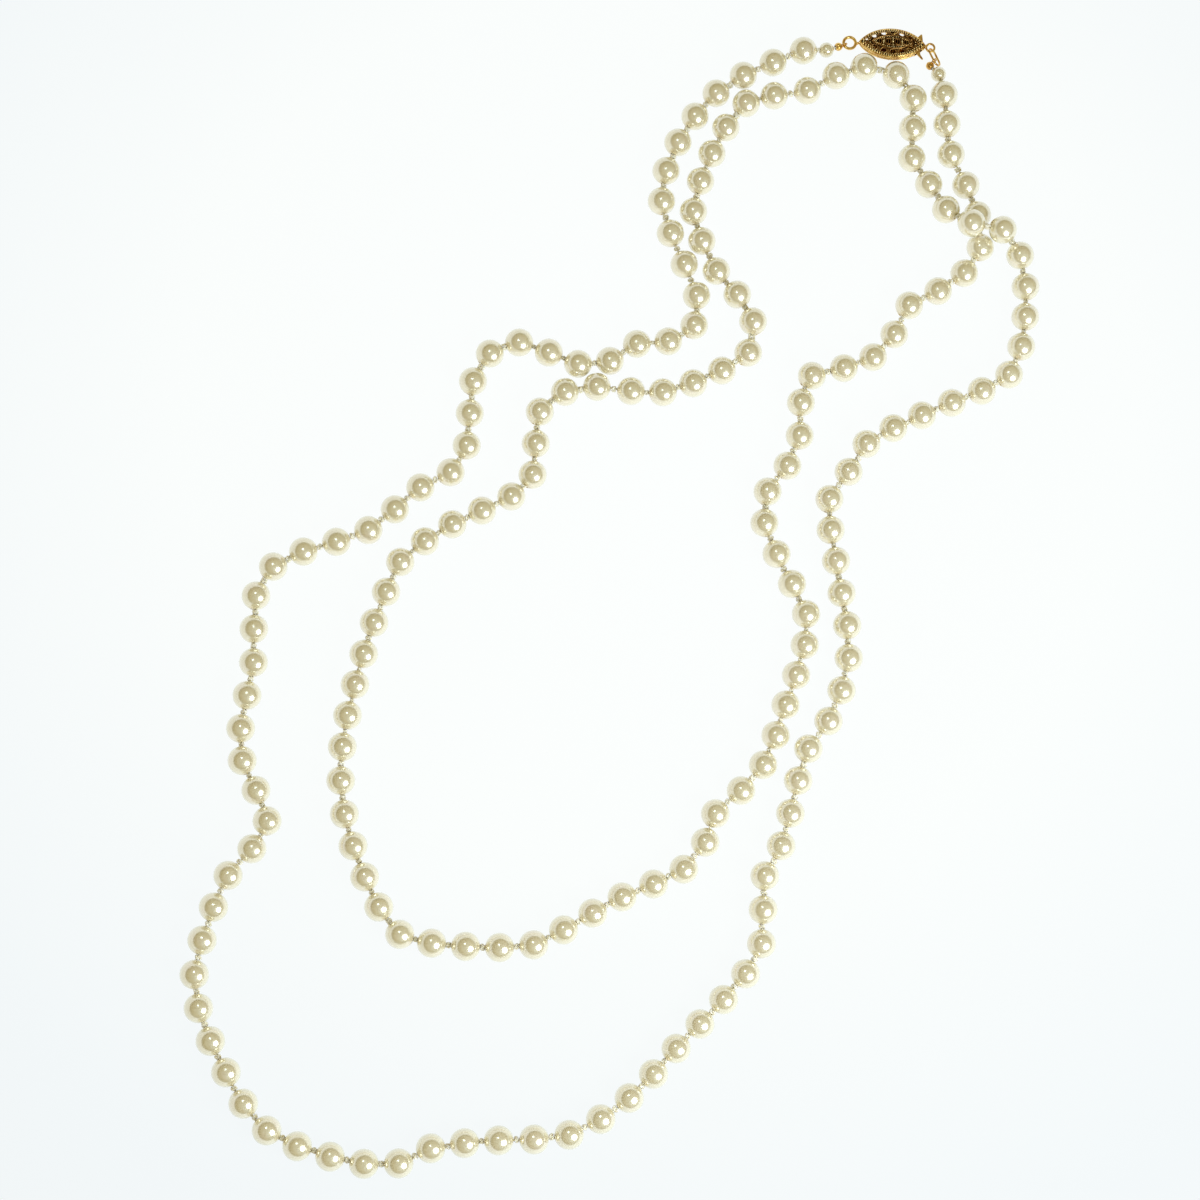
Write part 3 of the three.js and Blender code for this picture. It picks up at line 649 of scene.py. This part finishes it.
def lay_pearls():
    """The sections' pearls and knots, then the loose pearls, then the knots between those."""
    draw = random.Random(KNOT_SEED)
    hook_side = PEARL_COUNT - LOOSE_PEARLS
    sections = math.ceil((PEARL_COUNT - 2 * LOOSE_PEARLS) / SECTION_PEARLS)
    for k in range(sections):
        number = f"{k + 1:02d}"
        first = LOOSE_PEARLS + 1 + k * SECTION_PEARLS
        end = min(first + SECTION_PEARLS, hook_side + 1)
        node = "strand_section_" + number
        string_pearls("pearls_of_section_" + number, range(first, end), node, "necklace")
        tie_knots("knots_of_section_" + number, range(first, min(end, hook_side)), "necklace", draw)
    last_number = len(BEADS) - 1
    loose = {0: "small_pearl_box_end", last_number: "small_pearl_hook_end"}
    for n in [*range(1, LOOSE_PEARLS + 1), *range(hook_side + 1, PEARL_COUNT + 1)]:
        loose[n] = f"pearl_{n:03d}"
    for n, node in loose.items():
        string_pearls("nacre_of_" + node, [n], node, node + "_turning")
    tie_knots("knots_at_the_box", range(LOOSE_PEARLS + 1), "necklace", draw)
    tie_knots("knots_at_the_hook", range(hook_side, last_number), "strand_end", draw)


lay_pearls()

# ---- The clasp, in its own frame: x towards the hook end, z up ----

PAINTED_SHADE_FINISH, SHADED_WIRE_FINISH, HIGHLIGHT_FINISH = 1, 2, 3  # places in the front shell's list of materials
ARC_STEPS = 48
HOLE_STEPS = 24
SCROLL_STEPS = 22
RING_STEPS = 40
WIRE_SIDES = 8
RING_SIDES = 12
BLOB_RINGS = 8
SHARP_ANGLE = math.radians(50)

ARC_RADIUS = (BOX_HALF_LENGTH**2 + BOX_HALF_WIDTH**2) / (2 * BOX_HALF_WIDTH)
ARC_DROP = ARC_RADIUS - BOX_HALF_WIDTH


def edge_at(x):
    """Half the width of the pointed oval at x."""
    return math.sqrt(ARC_RADIUS**2 - x * x) - ARC_DROP


def oval(inset):
    """The pointed oval at a distance in from the box's edge, anticlockwise from the hook's end."""
    radius = ARC_RADIUS - inset
    half = math.acos(ARC_DROP / radius)
    angles = np.linspace(half, -half, ARC_STEPS, endpoint=False)
    upper = np.stack([radius * np.sin(angles), radius * np.cos(angles) - ARC_DROP], axis=1)
    return np.concatenate([upper, -upper])


def ellipse(centre, halves):
    angles = np.arange(HOLE_STEPS) * 2 * math.pi / HOLE_STEPS
    return np.stack([np.cos(angles), np.sin(angles)], axis=1) * halves + centre


def pierced(places, halves):
    """The outlines of the holes at the given places, on both sides of the box."""
    return [ellipse((x, side * (edge_at(x) - inset)), halves) for x, inset in places for side in (1, -1)]


def dome_height(x, y, dome, deeper=0.0):
    """The height of a dome over (x, y), or of the surface a wall's thickness inside it."""
    middle, height = dome
    height -= math.copysign(deeper, height)
    share = (x / (DOME_HALF_LENGTH - deeper)) ** 2 + (y / (DOME_HALF_WIDTH - deeper)) ** 2
    return middle + height * np.sqrt(np.maximum(0.0, 1 - share))


def on_dome(path, dome, lift):
    """A flat path brought up to the dome and lifted off it along its normal."""
    path = np.asarray(path, float)
    x, y = path[:, 0], path[:, 1]
    z = dome_height(x, y, dome)
    middle, height = dome
    normals = np.stack([x / DOME_HALF_LENGTH**2, y / DOME_HALF_WIDTH**2, (z - middle) / height**2], axis=1)
    normals /= np.linalg.norm(normals, axis=1, keepdims=True)
    return np.stack([x, y, z], axis=1) + lift * normals


def inside(polygon, points):
    """Which points lie inside a polygon."""
    x, y = points[:, 0], points[:, 1]
    result = np.zeros(len(points), bool)
    for (ax, ay), (bx, by) in zip(polygon, np.roll(polygon, -1, axis=0)):
        crosses = (ay > y) != (by > y)
        with np.errstate(divide="ignore", invalid="ignore"):
            result ^= crosses & (x < (bx - ax) * (y - ay) / (by - ay) + ax)
    return result


def add_plate(shape, edge, holes, top, bottom, spacing, finish=0):
    """A closed sheet with holes in it, between two heights that are functions of x and y."""
    loops = [np.asarray(edge, float), *holes]
    corners, borders = [], []
    for loop in loops:
        count, start = len(loop), len(corners)
        corners += [tuple(p) for p in loop]
        borders += [(start + i, start + (i + 1) % count) for i in range(count)]
    low, high = loops[0].min(axis=0), loops[0].max(axis=0)
    rows = [np.arange(a + spacing / 2, b, spacing) for a, b in zip(low, high)]
    grid = np.stack(np.meshgrid(*rows), axis=-1).reshape(-1, 2)
    rim = np.array(corners)
    clear = np.array([np.min(np.hypot(*(rim - p).T)) > 0.4 * spacing for p in grid], bool)
    grid = grid[clear & inside(loops[0], grid)]
    corners += [tuple(p) for p in grid]
    points, _, triangles, *_ = delaunay_2d_cdt([Vector(c) for c in corners], borders, [], 0, 1e-6)
    flat = np.array([tuple(p) for p in points])
    middles = np.array([flat[list(t)].mean(axis=0) for t in triangles])
    keep = inside(loops[0], middles)
    for hole in loops[1:]:
        keep &= ~inside(hole, middles)
    kept = [tuple(t) for t, k in zip(triangles, keep) if k]
    upper = np.column_stack([flat, top(flat[:, 0], flat[:, 1])])
    lower = np.column_stack([flat, bottom(flat[:, 0], flat[:, 1])])
    count = len(flat)
    faces = kept + [tuple(i + count for i in reversed(t)) for t in kept]
    sides = {(t[i], t[(i + 1) % len(t)]) for t in kept for i in range(len(t))}
    faces += [(b, a, a + count, b + count) for a, b in sides if (b, a) not in sides]
    shape.add(np.concatenate([upper, lower]), faces, finish)


def add_band(shape, profile):
    """A rim round the box: each inset and height of its profile is carried round the pointed oval."""
    rings = [np.column_stack([oval(inset), height(oval(inset))]) for inset, height in profile]
    shape.add(np.concatenate(rings), ring_faces(len(rings), len(rings[0]), close_rings=True))


# wires take the darker gold painted as shade unless another finish is given
def add_wire(shape, path, radius, closed=True, finish=SHADED_WIRE_FINISH):
    shape.add(*tube(path, radius, WIRE_SIDES, closed=closed), finish)


def spaced(path, gap):
    """Points round a closed path, about a gap apart."""
    path = np.concatenate([path, path[:1]])
    lengths = np.concatenate([[0], np.cumsum(np.linalg.norm(np.diff(path, axis=0), axis=1))])
    count = round(lengths[-1] / gap)
    at = np.arange(count) / count * lengths[-1]
    return np.stack([np.interp(at, lengths, axis) for axis in path.T], axis=1)


# beads take the gold painted bright as highlight
def add_bead(shape, centre, radius, rings=4):
    shape.add(*ball(centre, radius, WIRE_SIDES, rings), HIGHLIGHT_FINISH)


def spiral(centre, start, turns, outer, inner):
    """A flat scroll that winds in round its centre."""
    t = np.linspace(0, 1, SCROLL_STEPS)
    angle = start + turns * 2 * math.pi * t
    radius = outer + (inner - outer) * t
    return np.stack([radius * np.cos(angle), radius * np.sin(angle)], axis=1) + centre


def gold_piece(shape, name, node, body, materials=(GOLD,)):
    piece = shape.piece(name, materials)
    piece.data.set_sharp_from_angle(angle=SHARP_ANGLE)
    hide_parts(node)
    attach(piece, body)


def clasp_piece(shape, name, node, body, materials=(GOLD,)):
    """A gold piece whose shape is first turned from the clasp's frame to the part's."""
    c, s = math.cos(CLASP_TURN), math.sin(CLASP_TURN)
    turn = np.array([(c, s, 0), (-s, c, 0), (0, 0, 1)])
    shape.points = [points @ turn + (*CLASP_CENTRE, 0) for points in shape.points]
    gold_piece(shape, name, node, body, materials)


def lowered(dome, drop):
    """A height function a little below a dome's surface."""
    return lambda x, y: dome_height(x, y, dome, drop)


def level(height, at_mouth):
    """A height that is the same all round the box but changes where its mouth is open."""
    return lambda flat: np.where(flat[:, 0] > MOUTH_X, at_mouth, height)


def add_rolled_rim(shape, middle, mouth_middle):
    """The rolled edge of a shell where the two shells meet."""
    rolled = []
    for a in np.linspace(0, 2 * math.pi, WIRE_SIDES, endpoint=False):
        rise = RIM_RADIUS * math.sin(a)
        inset = RIM_RADIUS * math.cos(a) - RIM_STAND_OUT
        rolled.append((inset, level(middle + rise, mouth_middle + rise)))
    add_band(shape, rolled[::-1])


def add_front_edge(shape, dome):
    """The wall from the front dome's edge down to the seam, and to the top of the mouth."""
    surface = lambda flat: dome_height(flat[:, 0], flat[:, 1], dome)
    inner = lambda flat: dome_height(flat[:, 0], flat[:, 1], dome, SHELL_THICKNESS)
    seam = level(SEAM_Z + SEAM_GAP, FRONT_LIP_Z)
    wall = [(0.0, seam), (0.0, surface), (LEDGE, surface), (SHELL_THICKNESS, inner), (SHELL_THICKNESS, seam)]
    add_band(shape, wall)
    add_rolled_rim(shape, SEAM_Z + SEAM_GAP + RIM_RADIUS, FRONT_LIP_Z + RIM_RADIUS)


def add_milgrain(shape, dome):
    """A plain wire at the edge, short flutes just inside it, beads over the seam and a row of fine beads."""
    inset, radius = EDGE_WIRE
    add_wire(shape, on_dome(oval(inset), dome, 0.0), radius, finish=0)
    run = np.linspace(*FLUTE_RUN, len(FLUTE_RADII))
    for x in np.linspace(-FLUTES_REACH, FLUTES_REACH, FLUTE_COUNT):
        lean = FLUTE_LEAN * x / ARC_RADIUS
        for side in (1, -1):
            flute = np.stack([x - lean * run, side * (edge_at(x) - run)], axis=1)
            shape.add(*tube(on_dome(flute, dome, RAISED), FLUTE_RADII, WIRE_SIDES), HIGHLIGHT_FINISH)
    inset, radius, gap = SEAM_BEADS
    rim = oval(inset)
    for centre in spaced(np.column_stack([rim, np.full(len(rim), SEAM_Z + SEAM_BEADS_RISE)]), gap):
        if centre[0] < MOUTH_X:
            add_bead(shape, centre, radius)
    inset, radius, gap = BORDER_BEADS
    for centre in spaced(on_dome(oval(inset), dome, RAISED), gap):
        add_bead(shape, centre, radius)


def add_border(shape, dome):
    """A wire round every hole of the border, and pairs of radial ribs between them."""
    for places, (halves, radius) in ((BORDER_HOLES, BORDER_HOLE_WIRE), (TIP_HOLES, TIP_HOLE_WIRE)):
        for hole in pierced(places, halves):
            add_wire(shape, on_dome(hole, dome, SUNK), radius)
    run = np.linspace(*RIB_RUN, 5)
    for x in RIBS_X:
        for side in (1, -1):
            rib = np.stack([np.full(len(run), x), side * (edge_at(x) - run)], axis=1)
            add_wire(shape, on_dome(rib, dome, SUNK), RIB_WIRE, False)


def bar_across(x, half, count):
    """Points of a straight bar across the clasp at x."""
    return [(x, y) for y in np.linspace(-half, half, count)]


def add_middle_panel(shape, dome):
    """The panel's frame, a lattice with beads on its crossings, a boss, two arcs and four scrolls."""
    inset, radius = PANEL_WIRE
    add_wire(shape, on_dome(oval(inset), dome, RAISED), radius)
    inset, radius, gap = PANEL_BEADS
    for centre in spaced(on_dome(oval(inset), dome, RAISED), gap):
        add_bead(shape, centre, radius)
    for x in CENTRE_HOLES_X:
        halves, radius = CENTRE_HOLE_WIRE
        add_wire(shape, on_dome(ellipse((x, 0.0), halves), dome, 0.0), radius)
        half, radius = SPLIT_BAR
        add_wire(shape, on_dome(bar_across(x, half, 7), dome, -0.03), radius, False)
    for x in LATTICE_X:
        half, radius = LATTICE_BAR
        add_wire(shape, on_dome(bar_across(x, half, 9), dome, 0.0), radius, False)
        for y in LATTICE_BEADS_Y:
            add_bead(shape, on_dome([(x, y)], dome, 0.08)[0], LATTICE_BEAD if y else BOSS, 5)
    reach, height, foot = PANEL_ARC
    for side in (1, -1):
        arc = [(x, side * height * (1 - (x / foot) ** 2)) for x in np.linspace(-reach, reach, 25)]
        add_wire(shape, on_dome(arc, dome, 0.0), SCROLL_WIRE, False)
        for end in (1, -1):
            centre = (end * SCROLL_CENTRE[0], side * SCROLL_CENTRE[1])
            scroll = spiral(centre, side * end * 1.2, side * 1.1, *SCROLL_SIZE)
            add_wire(shape, on_dome(scroll, dome, RAISED), SCROLL_WIRE, False)
            for x, y in END_BEADS:
                add_bead(shape, on_dome([(end * x, side * y)], dome, 0.03)[0], END_BEAD, 5)


def make_front_shell():
    shape = Shape()
    dome = FRONT_DOME
    holes = pierced(BORDER_HOLES, BORDER_HOLE) + pierced(TIP_HOLES, TIP_HOLE)
    holes += [ellipse((x, 0.0), CENTRE_HOLE) for x in CENTRE_HOLES_X]
    face, inner = lowered(dome, SHEET_DROP), lowered(dome, SHELL_THICKNESS)
    # the sunk sheet takes the gold painted dark as shade
    add_plate(shape, oval(SHEET_INSET), holes, face, inner, SHEET_SPACING, PAINTED_SHADE_FINISH)
    add_front_edge(shape, dome)
    add_milgrain(shape, dome)
    add_border(shape, dome)
    add_middle_panel(shape, dome)
    materials = (GOLD, GOLD_PAINTED_SHADE, GOLD_WIRE_PAINTED_SHADE, GOLD_PAINTED_HIGHLIGHT)
    clasp_piece(shape, "filigree_front", "clasp_front_shell", "necklace", materials)


def make_back_shell():
    shape = Shape()
    dome = BACK_DOME
    rim = oval(BACK_RIM_INSET)
    holes = pierced(BACK_HOLES, BACK_HOLE) + pierced(BACK_TIP_HOLES, BACK_TIP_HOLE)
    holes = [hole[inside(rim, hole)] for hole in holes]
    outside = lambda x, y: np.maximum(0.0, dome_height(x, y, dome))
    within = lambda x, y: np.maximum(SHELL_THICKNESS, dome_height(x, y, dome, SHELL_THICKNESS))
    lip = lambda x, drop: np.where(x > MOUTH_X, BACK_LIP_Z - drop, SEAM_Z)
    top = lambda x, y: np.minimum(within(x, y), lip(x, 0.0))
    bottom = lambda x, y: np.minimum(outside(x, y), lip(x, LIP_THICKNESS))
    add_plate(shape, oval(0.0), holes, top, bottom, SHEET_SPACING)
    seam = SEAM_Z - SEAM_GAP
    low, high = level(BACK_WALL_FOOT, BACK_LIP_Z - LIP_THICKNESS), level(seam, BACK_LIP_Z)
    add_band(shape, [(0.0, low), (SHELL_THICKNESS, low), (SHELL_THICKNESS, high), (0.0, high)][::-1])
    inset, radius = BACK_PILLAR
    for x in BACK_PILLARS_X:
        for side in (1, -1):
            pillar = [(x, side * (edge_at(x) - inset), z) for z in BACK_PILLARS_Z]
            shape.add(*tube(pillar, radius, WIRE_SIDES))
    add_rolled_rim(shape, seam - RIM_RADIUS, BACK_LIP_Z - RIM_RADIUS)
    clasp_piece(shape, "filigree_back", "clasp_back_shell", "necklace")


def make_crossbar():
    """The bar that the hook catches on, riveted into the box's sides."""
    x, z, radius, half = CROSSBAR
    ends = [(inset - half, share) for inset, share in RIVET]
    stops = [*ends, (0.0, 1.0), *[(-y, share) for y, share in reversed(ends)]]
    shape = Shape()
    shape.add(*tube([(x, y, z) for y, _ in stops], [share * radius for _, share in stops], RING_SIDES))
    clasp_piece(shape, "crossbar", "clasp_crossbar", "necklace")


def make_shank():
    """The hook's flat shank, bent up at its inner end."""
    low, high = SHANK
    middle = (low + LEAF[1]) / 2
    bend = (LEAF[1] - low) / 2 - (high - low) / 2
    angles = np.linspace(-0.5, -1.35, 10) * math.pi
    centreline = [(HOOK_OUTER_X, (low + high) / 2), (0.0, (low + high) / 2)]
    centreline += [(HOOK_BEND_X + bend * math.cos(a), middle + bend * math.sin(a)) for a in angles]
    shape = Shape()
    shape.add(*strip(centreline, (high - low) / 2, HOOK_HALF_WIDTH))
    clasp_piece(shape, "hook_shank_strip", "hook_shank", "hook")


def make_leaf():
    """The spring leaf with its thumb plate, ribbed along the horns for the nail."""
    low, high = LEAF
    shape = Shape()
    outline = [(LEAF_START_X, -HOOK_HALF_WIDTH), *HORNS, (LEAF_START_X, HOOK_HALF_WIDTH)]
    top, bottom = lambda x, y: high + 0 * x, lambda x, y: low + 0 * x
    add_plate(shape, softened(outline, LEAF_ROUNDING), [], top, bottom, 0.5)
    for a, b in RIDGES:
        ridge = np.linspace((*a, high), (*b, high), len(RIDGE_RADII))
        shape.add(*tube(ridge, RIDGE_RADII, WIRE_SIDES))
    clasp_piece(shape, "leaf_and_thumb_plate", "hook_spring_leaf", "spring_leaf")


def strip(centreline, half_thickness, half_width):
    """A flat strip seen from the side as (x, z) points, with slightly rounded long edges."""
    line = np.array(centreline)
    runs = np.gradient(line, axis=0)
    runs /= np.linalg.norm(runs, axis=1, keepdims=True)
    across = np.stack([-runs[:, 1], runs[:, 0]], axis=1)
    t, w, r = half_thickness, half_width, STRIP_ROUNDING
    half_section = [(-t, -w + r), (-t + r, -w), (t - r, -w), (t, -w + r)]
    section = half_section + [(-u, -v) for u, v in half_section]
    points = [(p[0] + u * n[0], y, p[1] + u * n[1]) for p, n in zip(line, across) for u, y in section]
    sides, count = len(section), len(line)
    faces = [tuple(reversed(face)) for face in ring_faces(count, sides)]
    faces += [tuple(reversed(range(sides))), tuple(range((count - 1) * sides, count * sides))]
    return np.array(points), faces


def softened(outline, cut):
    """A polygon with its corners cut back twice."""
    points = np.array(outline, float)
    for share in (1.0, 0.4):
        result = []
        for before, here, after in zip(np.roll(points, 1, axis=0), points, np.roll(points, -1, axis=0)):
            for other in (before, after):
                length = np.linalg.norm(other - here)
                result.append(here + (other - here) * min(0.3, cut * share / length))
        points = np.array(result)
    return points


def ring_wire(centre, radius, wire, normal):
    """A ring of round wire in the part's frame, with the small gap where it is closed."""
    normal = unit(np.array(normal, float))
    first = unit(np.cross(normal, (0.31, 0.87, 0.38)))
    second = np.cross(normal, first)
    angles = np.linspace(0.02, 2 * math.pi - 0.02, RING_STEPS)
    path = centre + radius * (np.outer(np.cos(angles), first) + np.outer(np.sin(angles), second))
    return tube(path, wire, RING_SIDES)


def clasp_point(x, y, z):
    c, s = math.cos(CLASP_TURN), math.sin(CLASP_TURN)
    return np.array((CLASP_CENTRE[0] + x * c - y * s, CLASP_CENTRE[1] + x * s + y * c, z))


def make_bead_tip(name, node, body, cup, pearl, wire_point, wire_direction):
    """Two cupped halves closed over the last knot, with a tongue curled round the wire it hangs on."""
    radius, wall, mouth = TIP_CUP
    shape = Shape()
    frame_of_cup = Bead(cup, pearl - cup, radius)
    profile = []
    for r, start, end, count in (
        (radius, -math.pi / 2, math.acos(mouth / radius), 14),
        (radius - wall, math.acos(mouth / (radius - wall)), -math.pi / 2, 10),
    ):
        angles = np.linspace(start, end, count)
        profile += [(max(1e-3, r * math.cos(a)), r * math.sin(a)) for a in angles]
    points, faces = lathe(profile, CUP_SIDES, closed=False)
    shape.add(frame_of_cup.place(points), [tuple(reversed(face)) for face in faces])
    # the raised line where the two halves meet, which stops short of the mouth
    angles = np.linspace(-math.pi * 0.42, math.pi * 1.42, 30)
    seam = np.stack([0 * angles, -radius * np.sin(angles), radius * np.cos(angles)], axis=1)
    seam = seam[seam[:, 1] < radius * 0.8]
    shape.add(*tube(frame_of_cup.place(seam), TIP_SEAM, WIRE_SIDES))
    towards = unit(cup - wire_point)
    normal = wire_direction - towards * (wire_direction @ towards)
    loop_radius, loop_wire = TIP_LOOP
    shape.add(*ring_wire(wire_point, loop_radius, loop_wire, normal))
    gold_piece(shape, name, node, body)


def make_end_ring(ring, solder, side, name, node, body):
    """A ring at one end of the clasp, with the blob that solders it on."""
    x, radius, wire = ring
    beyond, blob = solder
    shape = Shape()
    shape.add(*ring_wire(clasp_point(x, 0, RING_Z), radius, wire, UP))
    shape.add(*ball(clasp_point(x + side * (radius + beyond), 0, RING_Z), blob, RING_SIDES, BLOB_RINGS))
    gold_piece(shape, name, node, body)


def link_axes():
    """The ways the link's length and its width run; it leans on the hook's ring."""
    along = unit(np.array(LINK_DIRECTION))
    flat = np.array((along[1], -along[0], 0.0))
    return along, flat * math.cos(LINK_LEAN) + np.array((0, 0, math.sin(LINK_LEAN)))


def make_link():
    """The oval link: two half turns joined by straight legs."""
    half_length, half_width, wire = LINK_SIZE
    leg = half_length - half_width
    turn = np.linspace(-0.5, 0.5, 19) * math.pi
    half = [(leg + half_width * math.cos(a), half_width * math.sin(a)) for a in turn]
    half += [(x, half_width) for x in np.linspace(leg, -leg, 8)[1:-1]]
    outline = np.array(half + [(-x, -y) for x, y in half])
    shape = Shape()
    shape.add(*tube(np.array(LINK_CENTRE) + outline @ np.array(link_axes()), wire, RING_SIDES, closed=True))
    gold_piece(shape, "oval_link", "connecting_link", "strand_end")


def make_box_bead_tip():
    ring = clasp_point(BOX_RING[0], 0, RING_Z)
    cup, pearl = np.array(BOX_TIP_CENTRE), np.array(BOX_SMALL_PEARL)
    towards = unit((cup - ring) * (1, 1, 0))
    wire = ring + towards * BOX_RING[1], np.array((-towards[1], towards[0], 0.0))
    make_bead_tip("bead_tip_at_the_box", "bead_tip_box_end", "necklace", cup, pearl, *wire)


def make_hook_bead_tip():
    half_length, half_width, _ = LINK_SIZE
    cup, pearl = np.array(HOOK_TIP_CENTRE), np.array(HOOK_SMALL_PEARL)
    along, side = link_axes()
    wire = np.array(LINK_CENTRE) + along * (half_length - half_width) + side * half_width, along
    make_bead_tip("bead_tip_at_the_hook", "bead_tip_hook_end", "strand_end", cup, pearl, *wire)


make_front_shell()
make_back_shell()
make_crossbar()
make_shank()
make_leaf()
make_end_ring(BOX_RING, BOX_RING_SOLDER, 1, "box_end_ring", "clasp_box_ring", "necklace")
make_end_ring(HOOK_RING, HOOK_RING_SOLDER, -1, "hook_end_ring", "hook_ring", "hook")
make_link()
make_box_bead_tip()
make_hook_bead_tip()

# ---- Stage ----

FLOOR_HALF = 3.0
FLOOR_BRIGHT_SPOT = (0.01, 0.04, 0.0)
FLOOR_GLOW = [  # the sheet's own light, by the distance from its bright spot
    (0.0, (0.955, 0.975, 0.972)), (0.11, (0.94, 0.965, 0.96)),
    (0.2, (0.87, 0.91, 0.925)), (0.5, (0.8, 0.83, 0.84)),
]
ROOM_UP = (0.17, -0.15, 1.0)  # the bright band near the table reaches higher at the far left
ROOM_WALLS = [
    (0.0, (0.9, 0.92, 0.9)), (0.2, (0.88, 0.91, 0.88)), (0.27, (0.24, 0.19, 0.065)),
    (0.6, (0.39, 0.315, 0.125)), (1.0, (0.46, 0.43, 0.28)),
]
ROOM_BEHIND = (0.9, 0.93, 0.94)
LIGHTS = {  # place, radius, power and colour
    "large_light": ((0.222, -0.227, 0.255), 0.135, 1.1, (0.86, 0.95, 1.0)),
    "soft_light": ((0.708, -0.724, 0.813), 0.85, 1.3, (0.45, 0.72, 1.0)),
    "small_light": ((-0.079, 0.098, 0.623), 0.06, 0.2, (0.7, 0.9, 1.0)),
}


def make_floor():
    """A white sheet lit from behind, a little dimmer away from its middle."""
    mesh = bpy.data.meshes.new("floor")
    corners = [(x * FLOOR_HALF, y * FLOOR_HALF, 0) for x, y in ((-1, -1), (1, -1), (1, 1), (-1, 1))]
    mesh.from_pydata(corners, [], [(0, 1, 2, 3)])
    floor = new_object("floor", mesh)
    material, nodes, links, shader, where = new_material("floor")
    distance = nodes.new("ShaderNodeVectorMath")
    distance.operation = "DISTANCE"
    distance.inputs[1].default_value = FLOOR_BRIGHT_SPOT
    links.new(where, distance.inputs[0])
    glow = colour_ramp(nodes, links, distance.outputs["Value"], FLOOR_GLOW)
    links.new(glow, shader.inputs["Emission Color"])
    set_inputs(shader, {"Base Color": (0.03, 0.03, 0.03, 1), "Roughness": 0.7})
    set_inputs(shader, {"Specular IOR Level": 0.0, "Emission Strength": 1.0})
    mesh.materials.append(material)


def make_light(name, place, radius, power, colour):
    """A round light that faces the middle of the table and isn't seen by the camera itself."""
    light = bpy.data.lights.new(name, "AREA")
    light.shape = "DISK"
    light.size = 2 * radius
    light.energy = power
    light.color = colour
    lamp = new_object(name, light)
    lamp.location = place
    lamp.rotation_mode = "QUATERNION"
    lamp.rotation_quaternion = Vector(place).to_track_quat("Z", "Y")
    lamp.visible_camera = False


def make_room():
    """A bright band close above the table, then a dim warm room that is lighter overhead."""
    world = bpy.data.worlds.new("room")
    world.use_nodes = True
    nodes, links = world.node_tree.nodes, world.node_tree.links
    background = nodes["Background"]
    height = nodes.new("ShaderNodeVectorMath")
    height.operation = "DOT_PRODUCT"
    height.inputs[1].default_value = ROOM_UP
    links.new(nodes.new("ShaderNodeTexCoord").outputs["Generated"], height.inputs[0])
    walls = colour_ramp(nodes, links, height.outputs["Value"], ROOM_WALLS)
    seen = nodes.new("ShaderNodeLightPath").outputs["Is Camera Ray"]
    colour = mix_colours(nodes, links, seen, walls, ROOM_BEHIND)
    links.new(colour, background.inputs["Color"])
    bpy.context.scene.world = world


make_floor()
for name, light in LIGHTS.items():
    make_light(name, *light)
make_room()
bpy.context.scene.view_settings.view_transform = "Standard"
